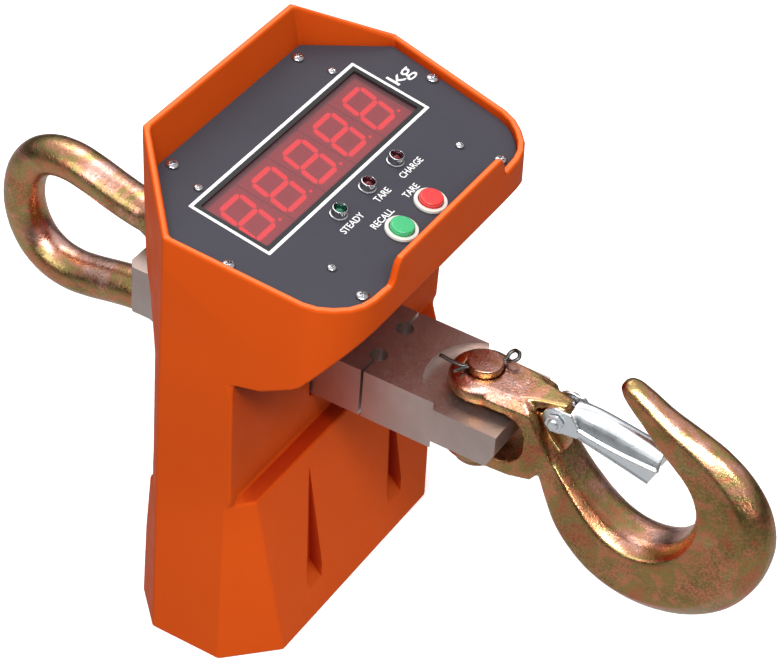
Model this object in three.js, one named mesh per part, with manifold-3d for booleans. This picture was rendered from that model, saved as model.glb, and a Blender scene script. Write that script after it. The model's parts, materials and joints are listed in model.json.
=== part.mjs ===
import * as THREE from 'three';
import { ConvexGeometry } from 'three/addons/geometries/ConvexGeometry.js';
import { mergeVertices } from 'three/addons/utils/BufferGeometryUtils.js';
import Module from 'manifold-3d';

// ---------------------------------------------------------------- driving dimensions
// Shapes are drawn on a grid. The grid origin lies on the centre of the measuring slots of the
// load bar, 2 units below the load line; X runs to the hook, Z to the display.
const U = 1.04;                 // millimetres per grid unit
const DX = 57.3, DZ = 164;      // grid offset of the base-face centre
const AXIS_Z = 2;               // height of the load line
const GAP = 0.3;                // clearance between neighbouring pieces

const BASE_Z = -164;            // base face
const WALL = 5;                 // housing wall
const RIM = 4.2;                // wall around the panel
const SIDE_LOW = 105.5, SIDE_SLOPE = 7.4 / 292;
const TILT = 0.17;              // fall of panel and rim towards the hook
const RIM_TOP = 115.3, PANEL_TOP = 109.8, PANEL_T = 2.4, GASKET_T = 0.9;
const HOOD_Z = 154.1, GUARD_Z = 124;
const WAIST_X = -31;            // hook-side wall of the waist
const HEAD_X = 30.2;            // hook-side face of the head

const BAR_HALF_W = 30, BAR_LOW = -14, BAR_HIGH = 18, BAR_END = 83.4, BAR_BACK = -155;
const LUG_LOW = -9.5, LUG_HIGH = 12.9, LUG_R = 32.5, LUG_STEP = 44.5;
const HOOK_PIN_X = 58, SHACKLE_PIN_X = -128, PIN_R = 10, SHACKLE_PIN_R = 10.5;

const FORK_TOP = 29, FORK_GAP_HIGH = 18.5, FORK_GAP_LOW = -14.5, FORK_BOTTOM = -25, EAR_R = 19.6;
const LATCH_X = 107, LATCH_Z = 22, LATCH_W = 8.9, LATCH_T = 1.7, LATCH_BOLT_R = 2.9;
const BOW_R = 11.8, BOW_SWING = -2.6;

const WINDOW = { x0: -80.6, x1: -32.3, y: 78.2 };
const DIGIT_H = 29, DIGIT_PITCH = 29.6, DIGIT_SLANT = 0.17;
const LED_X = -22, LED_Y = [-28.3, 0, 28.3];
const BUTTON_X = 8.3, BUTTON_Y = [-14.7, 14.7], BUTTON_R = 6.7, RING_R = 9.2;
const PANEL_SCREWS = [[-105, 60], [-105, -60], [-42.4, 100.6], [-42.4, -100.6], [19.3, 70.5], [19.3, -70.5]];
const BOARD_SCREWS = [[-85.5, 64.5], [-85.5, -64.5], [-3, 64.5], [-3, -64.5]];

// ---------------------------------------------------------------- helpers
const wasm = await Module();
wasm.setup();
const V = (x, y, z) => new THREE.Vector3(x, y, z);

function solid(geo) {
  const g = geo.clone();
  g.deleteAttribute('normal');
  g.deleteAttribute('uv');
  const m = mergeVertices(g, 1e-4);
  return new wasm.Manifold(new wasm.Mesh({
    numProp: 3,
    vertProperties: new Float32Array(m.attributes.position.array),
    triVerts: new Uint32Array(m.index.array),
  }));
}
const hull = (pts) => solid(new ConvexGeometry(pts.map((p) => V(...p))));
const union = (list) => list.reduce((a, b) => a.add(b));
const both = (pts) => pts.concat(pts.map(([x, y, z]) => [x, -y, z]));

function shapeOf(poly, holes = []) {
  const s = new THREE.Shape(poly.map(([a, b]) => new THREE.Vector2(a, b)));
  for (const h of holes) s.holes.push(new THREE.Path(h.map(([a, b]) => new THREE.Vector2(a, b))));
  return s;
}
const circle = (x, y, r, n = 24, a0 = 0) => Array.from({ length: n }, (_, i) => {
  const a = a0 + 2 * Math.PI * i / n;
  return [x + r * Math.cos(a), y + r * Math.sin(a)];
});
// plan outline (x, y) raised from z0 to z1
function plan(poly, z0, z1, holes = []) {
  const g = new THREE.ExtrudeGeometry(shapeOf(poly, holes), { depth: z1 - z0, bevelEnabled: false });
  g.translate(0, 0, z0);
  return g;
}
// side outline (x, z) spread from y0 to y1
function side(poly, y0, y1, holes = []) {
  const g = new THREE.ExtrudeGeometry(shapeOf(poly, holes), { depth: y1 - y0, bevelEnabled: false });
  g.rotateX(Math.PI / 2);
  g.translate(0, y1, 0);
  return g;
}
// end outline (y, z) pushed from x0 to x1
function end(poly, x0, x1) {
  const g = new THREE.ExtrudeGeometry(shapeOf(poly), { depth: x1 - x0, bevelEnabled: false });
  g.applyMatrix4(new THREE.Matrix4().set(0, 0, 1, x0, 1, 0, 0, 0, 0, 1, 0, 0, 0, 0, 0, 1));
  return g;
}
const box = (x0, x1, y0, y1, z0, z1) => {
  const g = new THREE.BoxGeometry(x1 - x0, y1 - y0, z1 - z0);
  g.translate((x0 + x1) / 2, (y0 + y1) / 2, (z0 + z1) / 2);
  return g;
};
const cyl = (x, y, z0, z1, r, n = 28) => {
  const g = new THREE.CylinderGeometry(r, r, z1 - z0, n);
  g.rotateX(Math.PI / 2);
  g.translate(x, y, (z0 + z1) / 2);
  return g;
};
const cylY = (x, z, y0, y1, r, n = 24) => {
  const g = new THREE.CylinderGeometry(r, r, y1 - y0, n);
  g.translate(x, (y0 + y1) / 2, z);
  return g;
};
const lathe = (profile, n = 28) => {
  const g = new THREE.LatheGeometry(profile.map(([r, h]) => new THREE.Vector2(r, h)), n);
  g.rotateX(Math.PI / 2);
  return g;
};

// pieces that lie in the tilted panel are drawn flat and then laid down on it
const PANEL_ANGLE = Math.atan(TILT);
const COS = Math.cos(PANEL_ANGLE), SIN = Math.sin(PANEL_ANGLE);
const panelFrame = new THREE.Matrix4().set(
  COS, 0, SIN, 0,
  0, 1, 0, 0,
  -SIN, 0, COS, PANEL_TOP,
  0, 0, 0, 1);
const onPanel = (geo) => { geo.applyMatrix4(panelFrame); return geo; };
const PX = (x) => x / COS;      // panel-plane coordinate of a plan x

const group = new THREE.Group();
const names = new Set();
// leftovers thinner than a hair at flush faces are dropped
const whole = (m) => m.decompose().sort((a, b) => b.volume() - a.volume())[0].simplify(0.01);
function add(name, shape, colour, roughness, metalness) {
  let g;
  if (shape.isBufferGeometry) {
    g = shape.clone();
    g.deleteAttribute('uv');
    g.deleteAttribute('normal');
    g = mergeVertices(g, 1e-4);
  } else {
    const m = whole(shape).getMesh();
    g = new THREE.BufferGeometry();
    g.setAttribute('position', new THREE.BufferAttribute(new Float32Array(m.vertProperties), 3));
    g.setIndex(new THREE.BufferAttribute(new Uint32Array(m.triVerts), 1));
  }
  g.translate(DX, 0, DZ);
  g.scale(U, U, U);
  g.computeVertexNormals();
  const mesh = new THREE.Mesh(g, new THREE.MeshStandardMaterial({ color: colour, roughness, metalness }));
  mesh.name = name;
  if (names.has(name)) throw new Error('name twice: ' + name);
  names.add(name);
  group.add(mesh);
}
const ORANGE = 0xd85a1e, STEEL = 0xa8a29c, ZINC = 0xb58a4a, STAINLESS = 0xb9bcc0, DARK = 0x44434a;

// ---------------------------------------------------------------- housing shell
const sideAt = (z) => SIDE_LOW + SIDE_SLOPE * (z + 164);
const cornerAt = (z) => -74.4 - 8.1 * (128 - z) / 292;
const taperAt = (z) => 0.1163 * Math.max(0, z - 30) / 85;
// shackle-side wall: height, distance
const BACK = [[-164, -104.2], [-107, -99.8], [-61, -93.6], [-60, -88.6], [-32, -86.6], [16, -86.5],
  [38, -86.2], [46, -89], [53, -92], [67, -97.5], [74, -104], [84, -108], [105, -111.2], [128, -115], [158, -118.2]];

function columnRing(z, xb, t, front) {
  const w = sideAt(z) - t, xc = cornerAt(z);
  const c = xc - xb;
  const yb = sideAt(z) - c - 0.414 * t;
  const wf = w - taperAt(z) * (front - xc);
  return both([[xb + t, yb, z], [xc + 0.414 * t, w, z], [front, wf, z]]);
}
function column(t, z0, z1, front) {
  const levels = [z0, ...BACK.map((b) => b[0]).filter((z) => z > z0 && z < z1), z1];
  const parts = [];
  for (let i = 1; i < levels.length; i++) {
    parts.push(hull([...columnRing(levels[i - 1], backAt(levels[i - 1]), t, front),
      ...columnRing(levels[i], backAt(levels[i]), t, front)]));
  }
  return union(parts);
}
// rounded hook-side end of the head, seen from above, at the height of the rim
const NOSE = [[3, 103.6], [11, 100.6], [18, 95.2], [24, 88.4], [27.8, 81], [29.6, 73], [30.2, 62]];
function headRing(z, t) {
  const w = sideAt(z), xc = cornerAt(z), k = w / sideAt(112);
  const pts = [[xc, w - t, z]];
  NOSE.forEach(([x, y], i) => {
    const a = NOSE[Math.max(0, i - 1)], b = NOSE[Math.min(NOSE.length - 1, i + 1)];
    let nx = a[1] - b[1], ny = b[0] - a[0];
    if (i === NOSE.length - 1) { nx = 1; ny = 0; }
    const l = Math.hypot(nx, ny);
    const base = w - taperAt(z) * (3 - xc);
    const yy = y / 103.6 * base;
    pts.push([x - t * nx / l, yy - t * ny / l, z]);
  });
  return both(pts);
}
const head = (t, z0, z1) => hull([...headRing(z0, t), ...headRing(z1, t)]);
const backAt = (z) => {
  for (let i = 1; i < BACK.length; i++) {
    const [a, xa] = BACK[i - 1], [b, xb] = BACK[i];
    if (z <= b) return xa + (xb - xa) * (z - a) / (b - a);
  }
  return BACK[BACK.length - 1][1];
};
// outline of the head room on the plane z = h - TILT x, or level when level is true
function roomOutline(t, h, level = false) {
  const at = (x) => (level ? h : h - TILT * x);
  const back = columnRing(at(-115), backAt(at(-115)), t, -60).slice(0, 2);
  const corner = columnRing(at(-74), backAt(at(-74)), t, -60)[1];
  const nose = headRing(at(5), t).slice(1, NOSE.length + 1);
  return both([back[0], corner, ...nose].map(([x, y]) => [x, y, at(x)]));
}
const room = (t, h0, h1, level = false) => hull([...roomOutline(t, h0), ...roomOutline(t, h1, level)]);
// underside of the head, seen from the side
const UNDER = [[-150, 48.4], [-30, 48.4], [-13, 52.3], [6.3, 63.2], [30.2, 91], [60, 126]];
const headMask = (rise) => solid(side([...UNDER.map(([x, z]) => [x, z + rise]), [60, 170], [-150, 170]], -130, 130));

const baseFront = hull(both([[-60, 105.5, -164], [-37.4, 105.5, -164], [-10.8, 78.2, -164],
  [-22.8, 95.1, -41.8], [-31, 108.8, -36], [-34, 108.75, -38], [-60, 108.75, -38]]));
let shell = column(0, BASE_Z, 48.4, WAIST_X).add(column(0, 48.4, 158, -70)).add(head(0, 44, 158).intersect(headMask(0))).add(baseFront);

// top edge of the walls around the panel
const above = (quad, zf, zt = 220) => hull([...quad.map(([x, y]) => [x, y, zf(x, y)]), ...quad.map(([x, y]) => [x, y, zt])]);
const chamferTop = (x, y) => HOOD_Z - 0.421 * ((x + 117.5) * 0.696 + (Math.abs(y) - 68.2) * 0.719);
const rimTop = (x) => RIM_TOP - TILT * x;
for (const s of [1, -1]) {
  const q1 = [[-117.5 - 11, 72.8], [-95.5, 59], [-65.2, 90.6], [-79, 123.6]].map(([x, y]) => [x, s * y]);
  const q2 = [[-79, 123.6], [-65.2, 90.6], [14, 59], [60, 59], [60, 130]].map(([x, y]) => [x, s * y]);
  shell = shell.subtract(above(q1, chamferTop)).subtract(above(q2.map(([x, y]) => [x, y]), rimTop));
}
shell = shell.subtract(solid(box(-200, 100, -150, 150, HOOD_Z, 220)));
const guard = [[59, 109], [57.8, 110.8], [56.4, 113.6], [55.2, 117], [54.1, 120.2], [52.5, 122.7], [50, GUARD_Z]];
shell = shell.subtract(solid(end([[59, 200], ...guard, ...guard.map(([y, z]) => [-y, z]).reverse(), [-59, 200]], 14, 60)));

// room above the panel, ledge under it, hollow of the head
const pocketFloor = PANEL_TOP - PANEL_T - GASKET_T;
shell = shell.subtract(room(RIM, pocketFloor, 158, true));
shell = shell.subtract(room(12.5, pocketFloor - 6, pocketFloor + 1));
shell = shell.subtract(room(WALL, 40, pocketFloor - 5).intersect(headMask(6.5)));
// hollow of waist and base
shell = shell.subtract(column(WALL, BASE_Z - 0.5, 62, WAIST_X - WALL));
const inner = hull(both([[-60, 100.5, -165], [-39.5, 100.5, -165], [-15.8, 76.1, -165],
  [-27.4, 92.2, -48.5], [-37, 103.2, -44], [-60, 103.2, -44]]));
shell = shell.subtract(inner);
// passage of the load bar through both walls
shell = shell.subtract(solid(box(-120, 10, -31.2, 31.2, -15.2, 19.2)));
// tapered grooves in the hook side of the base
const faceX = (z) => -22.8 + 12 * (-41.8 - z) / 122.2;
const liner = [];
for (const s of [1, -1]) {
  liner.push(hull([[-30, s * 33, -150], [-30, s * 54, -150], [faceX(-150) - 3, s * 33, -150], [faceX(-150) - 3, s * 54, -150],
    [-34, s * 39, -46], [-34, s * 48, -46], [faceX(-46) - 3, s * 39, -46], [faceX(-46) - 3, s * 48, -46]]));
}
shell = union([shell, ...liner]);
for (const s of [1, -1]) {
  shell = shell.subtract(hull([[faceX(-47) + 0.6, s * 43.5, -47], [faceX(-132) + 1, s * 34.8, -132], [faceX(-132) + 1, s * 52.2, -132],
    [faceX(-143) + 1, s * 36, -142], [faceX(-143) + 1, s * 51, -142], [faceX(-130) - 6.5, s * 39, -128], [faceX(-130) - 6.5, s * 48, -128]]));
}
// ledges that carry the cross plate of the load bar, and bosses for the rear cover
const CROSS_TOP = BAR_LOW - GAP, CROSS_BOTTOM = -22;
shell = shell.add(solid(box(-80, -38, 88, 105, -30, CROSS_BOTTOM - GAP))).add(solid(box(-80, -38, -105, -88, -30, CROSS_BOTTOM - GAP)));
const COVER_T = 3.2;
const COVER_SCREWS = [[-89.5, 84.5], [-89.5, -84.5], [-24, 78.5], [-24, -78.5]];
for (const [x, y] of COVER_SCREWS) {
  shell = shell.add(solid(cyl(x, y, BASE_Z + COVER_T + GAP, -146, 6.2, 20)))
    .subtract(solid(cyl(x, y, BASE_Z - 1, -149, 1.9, 16)));
}
for (const [x, y] of PANEL_SCREWS) {
  shell = shell.subtract(solid(onPanel(cyl(PX(x), y, -11.5, 2, 1.75, 9))));
}
for (const y of [96, -96]) shell = shell.subtract(solid(cyl(-59, y, -31, -20, 2.3, 16)));
add('housing_shell', shell, ORANGE, 0.45, 0.1);

// ---------------------------------------------------------------- rear cover
const coverOut = [[-98.6, 81.0], [-79.9, 99.8], [-39.9, 99.8], [-17, 75.7]];
let cover = solid(plan([...coverOut, ...coverOut.map(([x, y]) => [x, -y]).reverse()], BASE_Z, BASE_Z + COVER_T));
for (const [x, y] of COVER_SCREWS) {
  cover = cover.subtract(solid(cyl(x, y, BASE_Z - 1, BASE_Z + 5, 2.1, 14)))
    .subtract(hull([...circle(x, y, 4.3, 14).map(([a, b]) => [a, b, BASE_Z - 0.2]), ...circle(x, y, 2.2, 14).map(([a, b]) => [a, b, BASE_Z + 2])]));
}
add('rear_cover', cover, 0x3a3a3e, 0.6, 0.3);
COVER_SCREWS.forEach(([x, y], i) => {
  const g = lathe([[0, 0.5], [3.5, 0.5], [1.55, 2.4], [1.55, 12.5], [0, 13.2]], 16);
  g.translate(x, y, BASE_Z);
  add('cover_screw_' + (i + 1), g, STAINLESS, 0.3, 0.9);
});

// ---------------------------------------------------------------- front panel and what it carries
const rect = (x0, x1, y0, y1, r = 2) => {
  const pts = [];
  for (const [cx, cy, a] of [[x1 - r, y1 - r, 0], [x0 + r, y1 - r, 1], [x0 + r, y0 + r, 2], [x1 - r, y0 + r, 3]]) {
    for (let k = 0; k <= 3; k++) {
      const t = (a + k / 3) * Math.PI / 2;
      pts.push([cx + r * Math.cos(t), cy + r * Math.sin(t)]);
    }
  }
  return pts;
};
const W0 = PX(WINDOW.x0 + 2.9), W1 = PX(WINDOW.x1 - 2.9), WY = WINDOW.y - 2.9;
let panel = room(RIM + GAP, PANEL_TOP - PANEL_T, PANEL_TOP);
panel = panel.subtract(solid(onPanel(plan(rect(W0, W1, -WY, WY), -6, 4))));
for (const y of LED_Y) panel = panel.subtract(solid(onPanel(cyl(PX(LED_X), y, -6, 4, 3.4, 14))));
for (const y of BUTTON_Y) panel = panel.subtract(solid(onPanel(cyl(PX(BUTTON_X), y, -6, 4, 8.2, 20))));
for (const [x, y] of PANEL_SCREWS) panel = panel.subtract(solid(onPanel(cyl(PX(x), y, -6, 4, 1.9, 9))));
for (const [x, y] of BOARD_SCREWS) panel = panel.subtract(solid(onPanel(cyl(PX(x), y, -6, 4, 1.6, 9))));
add('front_panel', panel, 0x4c4b54, 0.6, 0.1);

let gasket = room(RIM + GAP, PANEL_TOP - PANEL_T - GASKET_T + 0.2, PANEL_TOP - PANEL_T - 0.2)
  .subtract(room(12.5, 90, 120));
for (const [x, y] of PANEL_SCREWS) gasket = gasket.subtract(solid(onPanel(cyl(PX(x), y, -8, 4, 2.1, 9))));
add('panel_gasket', gasket, 0x202020, 0.85, 0);

const panScrew = (r, h, shank, long) => lathe([[0, -long], [shank, -long + 0.6], [shank, GAP], [r, GAP], [r, GAP + h * 0.45],
  [r * 0.72, GAP + h * 0.9], [0, GAP + h]], 10);
function cross(x, y, r, top, turn) {
  const a = box(-r, r, -0.42, 0.42, top - 1.0, top + 1), b = box(-0.42, 0.42, -r, r, top - 1.0, top + 1);
  for (const g of [a, b]) { g.rotateZ(turn); g.translate(x, y, 0); onPanel(g); }
  return solid(a).add(solid(b));
}
function panelScrew(name, x, y, r, h, shank, long, turn) {
  const g = panScrew(r, h, shank, long);
  g.translate(PX(x), y, 0);
  onPanel(g);
  add(name, solid(g).subtract(cross(PX(x), y, r * 0.5, h + GAP, turn)), STAINLESS, 0.3, 0.9);
}
PANEL_SCREWS.forEach(([x, y], i) => panelScrew('panel_screw_' + (i + 1), x, y, 3, 1.9, 1.45, 9, 0.4 + i * 0.7));
BOARD_SCREWS.forEach(([x, y], i) => panelScrew('board_screw_' + (i + 1), x, y, 2.25, 1.5, 1.3, 14.5, 0.2 + i * 0.9));

// window, board and the five digits
add('display_window', onPanel(plan(rect(W0 + GAP, W1 - GAP, -WY + GAP, WY - GAP, 1.7), -1.9, -0.9)), 0xa02028, 0.15, 0);
let board = solid(onPanel(plan(rect(PX(-90), PX(2), -82, 82, 3), -14, -12.4)));
for (const [x, y] of BOARD_SCREWS) board = board.subtract(solid(onPanel(cyl(PX(x), y, -16, -10, 1.6, 9))));
add('display_board', board, 0x1d5a34, 0.6, 0.1);
const DIGIT_MID = (W0 + W1) / 2;
function digit(name, yc) {
  // block, with the lit bars standing on it; digits read along +Y and their tops point to -X
  let d = solid(plan(rect(DIGIT_MID - 19.2, DIGIT_MID + 19.2, yc - 14.4, yc + 14.4, 1), -12.1, -3.6));
  const H = DIGIT_H / 2, B = 9.2, T = 2.0;
  const put = (u, v) => [DIGIT_MID - v, yc - 1.6 + u + DIGIT_SLANT * v];   // u across, v up the digit
  const bar = (pts) => {
    const q = pts.map(([u, v]) => put(u, v));
    return hull([...q.map(([x, y]) => [x, y, -4]), ...q.map(([x, y]) => [x, y, -2.9])]);
  };
  const across = (v) => bar([[-B + 2.6, v + T], [B - 2.6, v + T], [B - 0.8, v], [B - 2.6, v - T], [-B + 2.6, v - T], [-B + 0.8, v]]);
  const up = (u, v0, v1) => bar([[u - T, v0 + 2.4], [u, v0 + 0.8], [u + T, v0 + 2.4], [u + T, v1 - 2.4], [u, v1 - 0.8], [u - T, v1 - 2.4]]);
  for (const v of [-H + T, 0, H - T]) d = d.add(across(v));
  for (const u of [-B + 0.2, B - 0.2]) { d = d.add(up(u, -H + T, 0)).add(up(u, 0, H - T)); }
  const [px, py] = put(B + 3.7, -H + T);
  d = d.add(solid(cyl(px, py, -4, -2.9, 2.1, 12)));
  const m = d.getMesh();
  const g = new THREE.BufferGeometry();
  g.setAttribute('position', new THREE.BufferAttribute(new Float32Array(m.vertProperties), 3));
  g.setIndex(new THREE.BufferAttribute(new Uint32Array(m.triVerts), 1));
  add(name, onPanel(g), 0xc8303c, 0.4, 0);
}
[-2, -1, 0, 1, 2].forEach((k, i) => digit('led_digit_' + (i + 1), k * DIGIT_PITCH));

['steady', 'tare', 'charge'].forEach((n, i) => {
  const b = lathe([[2.95, -6], [3.1, -6], [3.1, GAP], [5.1, GAP], [5.1, 1.1], [4.1, 1.4], [4.0, 4.6], [3.4, 5.2], [2.95, 5.2], [2.95, -6]], 14);
  b.translate(PX(LED_X), LED_Y[i], 0);
  add('led_bezel_' + n, onPanel(b), 0xc4c6ca, 0.2, 1);
  const l = lathe([[0, -8], [2.6, -8], [2.6, 4.2], [2.2, 5.5], [1.2, 6.3], [0, 6.6]], 16);
  l.translate(PX(LED_X), LED_Y[i], 0);
  add('led_lens_' + n, onPanel(l), i === 0 ? 0x1c6a48 : 0x74141e, 0.15, 0);
});
['recall', 'tare'].forEach((n, i) => {
  const r = lathe([[7.0, -9], [7.9, -9], [7.9, GAP], [RING_R, GAP], [RING_R, 1.4], [8.4, 2.1], [7.0, 2.1], [7.0, -9]], 20);
  r.translate(PX(BUTTON_X), BUTTON_Y[i], 0);
  add('button_ring_' + n, onPanel(r), 0xd8d4c8, 0.35, 0.2);
  const c = lathe([[0, -7.5], [6.0, -7.5], [BUTTON_R, -6.5], [BUTTON_R, 4.0], [6.1, 4.8], [0, 5.0]], 20);
  c.translate(PX(BUTTON_X), BUTTON_Y[i], 0);
  add('button_cap_' + n, onPanel(c), i === 0 ? 0x2fa865 : 0xd83a34, 0.35, 0);
});

// ---------------------------------------------------------------- inside the head and the base
const mainBoard = solid(onPanel(plan(rect(PX(-92), PX(-2), -70, 70, 3), -30, -28.4)))
  .add(solid(onPanel(box(PX(-80), PX(-55), -50, -20, -28.6, -24))))
  .add(solid(onPanel(box(PX(-50), PX(-30), 15, 45, -28.6, -25))));
add('main_board', mainBoard, 0x1d5a34, 0.6, 0.1);
add('battery_pack', solid(box(-88, -46, -62, 62, -160.3, -112)), 0x3c4658, 0.6, 0);
const strapPoly = [[-66, -160.4], [-62.3, -160.4], [-62.3, -111.7], [62.3, -111.7], [62.3, -160.4], [66, -160.4], [66, -110], [-66, -110]];
add('battery_strap', solid(end(strapPoly, -74, -60)), 0x8a8c90, 0.4, 0.8);

// ---------------------------------------------------------------- load bar
const endTaper = 5;
const barPlan = [[BAR_BACK, -BAR_HALF_W + endTaper], [BAR_BACK + 4, -BAR_HALF_W], [BAR_END, -BAR_HALF_W], [BAR_END, BAR_HALF_W],
  [BAR_BACK + 4, BAR_HALF_W], [BAR_BACK, BAR_HALF_W - endTaper]];
let bar = solid(plan(barPlan, BAR_LOW, BAR_HIGH));
const scoop = circle(HOOK_PIN_X, 0, LUG_R, 36);
const open = [[LUG_STEP, -40], [110, -40], [110, 40], [LUG_STEP, 40]];
for (const [z0, z1] of [[LUG_HIGH, 30], [-30, LUG_LOW]]) {
  bar = bar.subtract(solid(plan(scoop, z0, z1))).subtract(solid(plan(open, z0, z1)));
}
bar = bar.subtract(hull([[78.6, -40, -9.6], [90, -40, -9.6], [90, -40, 8.5], [84.5, -40, 2.2], [78.6, 40, -9.6], [90, 40, -9.6], [90, 40, 8.5], [84.5, 40, 2.2]]));
bar = bar.subtract(solid(cyl(HOOK_PIN_X, 0, -40, 40, PIN_R + GAP, 28)))
  .subtract(solid(cyl(SHACKLE_PIN_X, 0, -40, 40, SHACKLE_PIN_R + GAP, 26)));
for (const x of [0, -70]) {
  for (const s of [1, -1]) {
    bar = bar.subtract(solid(cyl(x, s * 13.6, -40, 40, 5.3, 18)))
      .subtract(solid(box(x - 0.85, x + 0.85, s > 0 ? 14 : -40, s > 0 ? 40 : -14, -40, 40)));
  }
}
for (const x of [-44, -26 - 32]) bar = bar.subtract(solid(cyl(x, 0, BAR_LOW - 2, BAR_LOW + 12, 2.9, 18)));
add('load_cell', bar, STEEL, 0.35, 0.9);
let cross_plate = solid(box(-79, -37.5, -100.5, 100.5, CROSS_BOTTOM, CROSS_TOP));
for (const x of [-44, -58]) cross_plate = cross_plate.subtract(solid(cyl(x, 0, -40, 0, 2.9, 18)));
for (const y of [96, -96]) cross_plate = cross_plate.subtract(solid(cyl(-59, y, -40, 0, 2.3, 16)));
add('cross_plate', cross_plate, 0x8c8e92, 0.4, 0.8);
const hex = (x, y, z0, z1, r) => cyl(x, y, z0, z1, r, 6);
[-44, -58].forEach((x, i) => add('bar_bolt_' + (i + 1), solid(hex(x, 0, CROSS_BOTTOM - 4, CROSS_BOTTOM - GAP, 4.6)).add(solid(cyl(x, 0, CROSS_BOTTOM - 0.5, BAR_LOW + 10, 2.55, 18))), 0x6f7276, 0.35, 0.9));
[96, -96].forEach((y, i) => add('cross_plate_screw_' + (i + 1), solid(hex(-59, y, CROSS_TOP + GAP, CROSS_TOP + 3.4, 4)).add(solid(cyl(-59, y, -29.5, CROSS_TOP + 0.5, 2.0, 16))), 0x6f7276, 0.35, 0.9));

// cable from the load bar to the board
class Path3 extends THREE.CatmullRomCurve3 {}
const cablePath = new Path3([V(-50, 33.2, 2), V(-50, 40, 4), V(-56, 48, 20), V(-60, 52, 48), V(-58, 50, 68), V(-50, 46, 78), V(-47, 44, 84)]);
add('load_cell_cable', new THREE.ExtrudeGeometry(shapeOf(circle(0, 0, 2.2, 8)), { steps: 15, extrudePath: cablePath, bevelEnabled: false }), 0x2a2a2c, 0.7, 0);

// ---------------------------------------------------------------- shackle
const swingShackle = (geo) => {
  geo.translate(-SHACKLE_PIN_X, 0, 0);
  geo.rotateZ(BOW_SWING * Math.PI / 180);
  geo.translate(SHACKLE_PIN_X, 0, 0);
  return geo;
};
const bowHalf = [[-148, 29.5], [-160, 29.6], [-172, 31], [-186, 34], [-202, 38], [-216, 40], [-230, 38], [-242, 30.5], [-250.5, 17.5]];
const bowPts = [...bowHalf.map(([x, h]) => V(x, 0, AXIS_Z + h)), V(-253.6, 0, AXIS_Z), ...bowHalf.slice().reverse().map(([x, h]) => V(x, 0, AXIS_Z - h))];
const bow = swingShackle(new THREE.ExtrudeGeometry(shapeOf(circle(0, 0, BOW_R, 12)), { steps: 28, extrudePath: new Path3(bowPts), bevelEnabled: false }));
let shackle = solid(bow);
const BAR_MID_HALF = 16, EAR_IN = BAR_MID_HALF + 1.6, EAR_OUT = EAR_IN + 22;
for (const s of [1, -1]) {
  const z0 = AXIS_Z + (s > 0 ? EAR_IN : -EAR_OUT), z1 = AXIS_Z + (s > 0 ? EAR_OUT : -EAR_IN);
  const zi = AXIS_Z + s * EAR_IN, zo = AXIS_Z + s * EAR_OUT;
  const ear = new ConvexGeometry([
    ...circle(SHACKLE_PIN_X, 0, 19.5, 20).map(([x, y]) => V(x, y, zi)),
    ...circle(SHACKLE_PIN_X, 0, 21, 20).map(([x, y]) => V(x, y, zi + s * 3)),
    ...circle(SHACKLE_PIN_X, 0, 21, 20).map(([x, y]) => V(x, y, zo - s * 3)),
    ...circle(SHACKLE_PIN_X, 0, 18, 20).map(([x, y]) => V(x, y, zo))]);
  const neck = new ConvexGeometry([
    ...circle(SHACKLE_PIN_X - 6, 0, 16, 12).map(([x, y]) => V(x, y, zi + s * 1)),
    ...circle(SHACKLE_PIN_X - 6, 0, 15, 12).map(([x, y]) => V(x, y, zo - s * 1)),
    ...[[-11, 0], [11, 0], [0, 11], [0, -11], [8, 8], [-8, 8], [8, -8], [-8, -8]].map(([a, b]) => V(-163, a, AXIS_Z + s * 29.8 + b))]);
  shackle = shackle.add(solid(swingShackle(ear))).add(solid(swingShackle(neck)));
}
shackle = shackle.subtract(solid(cyl(SHACKLE_PIN_X, 0, -80, 90, SHACKLE_PIN_R + GAP, 26)));
add('shackle_bow', shackle, ZINC, 0.35, 0.9);
const earTop = AXIS_Z + EAR_OUT, earBottom = AXIS_Z - EAR_OUT;
const spin = lathe([[0, earBottom - 12.6], [9.6, earBottom - 12.6], [SHACKLE_PIN_R, earBottom - 11.6], [SHACKLE_PIN_R, earTop + GAP], [16, earTop + GAP], [16, earTop + 4.5], [14.6, earTop + 6], [0, earTop + 6.4]], 26);
spin.translate(SHACKLE_PIN_X, 0, 0);
const SC_Z = earBottom - 8.4;
const pinHole = (x, z) => { const g = cylY(x, z, -20, 20, 1.9, 12); return solid(g); };
add('shackle_pin', solid(spin).subtract(pinHole(SHACKLE_PIN_X, SC_Z)), ZINC, 0.35, 0.9);
const sw = solid(cyl(SHACKLE_PIN_X, 0, earBottom - 2.9, earBottom - GAP, 16, 26)).subtract(solid(cyl(SHACKLE_PIN_X, 0, earBottom - 5, earBottom + 2, SHACKLE_PIN_R + GAP, 26)));
add('shackle_washer', sw, 0x9a9488, 0.4, 0.9);

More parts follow.
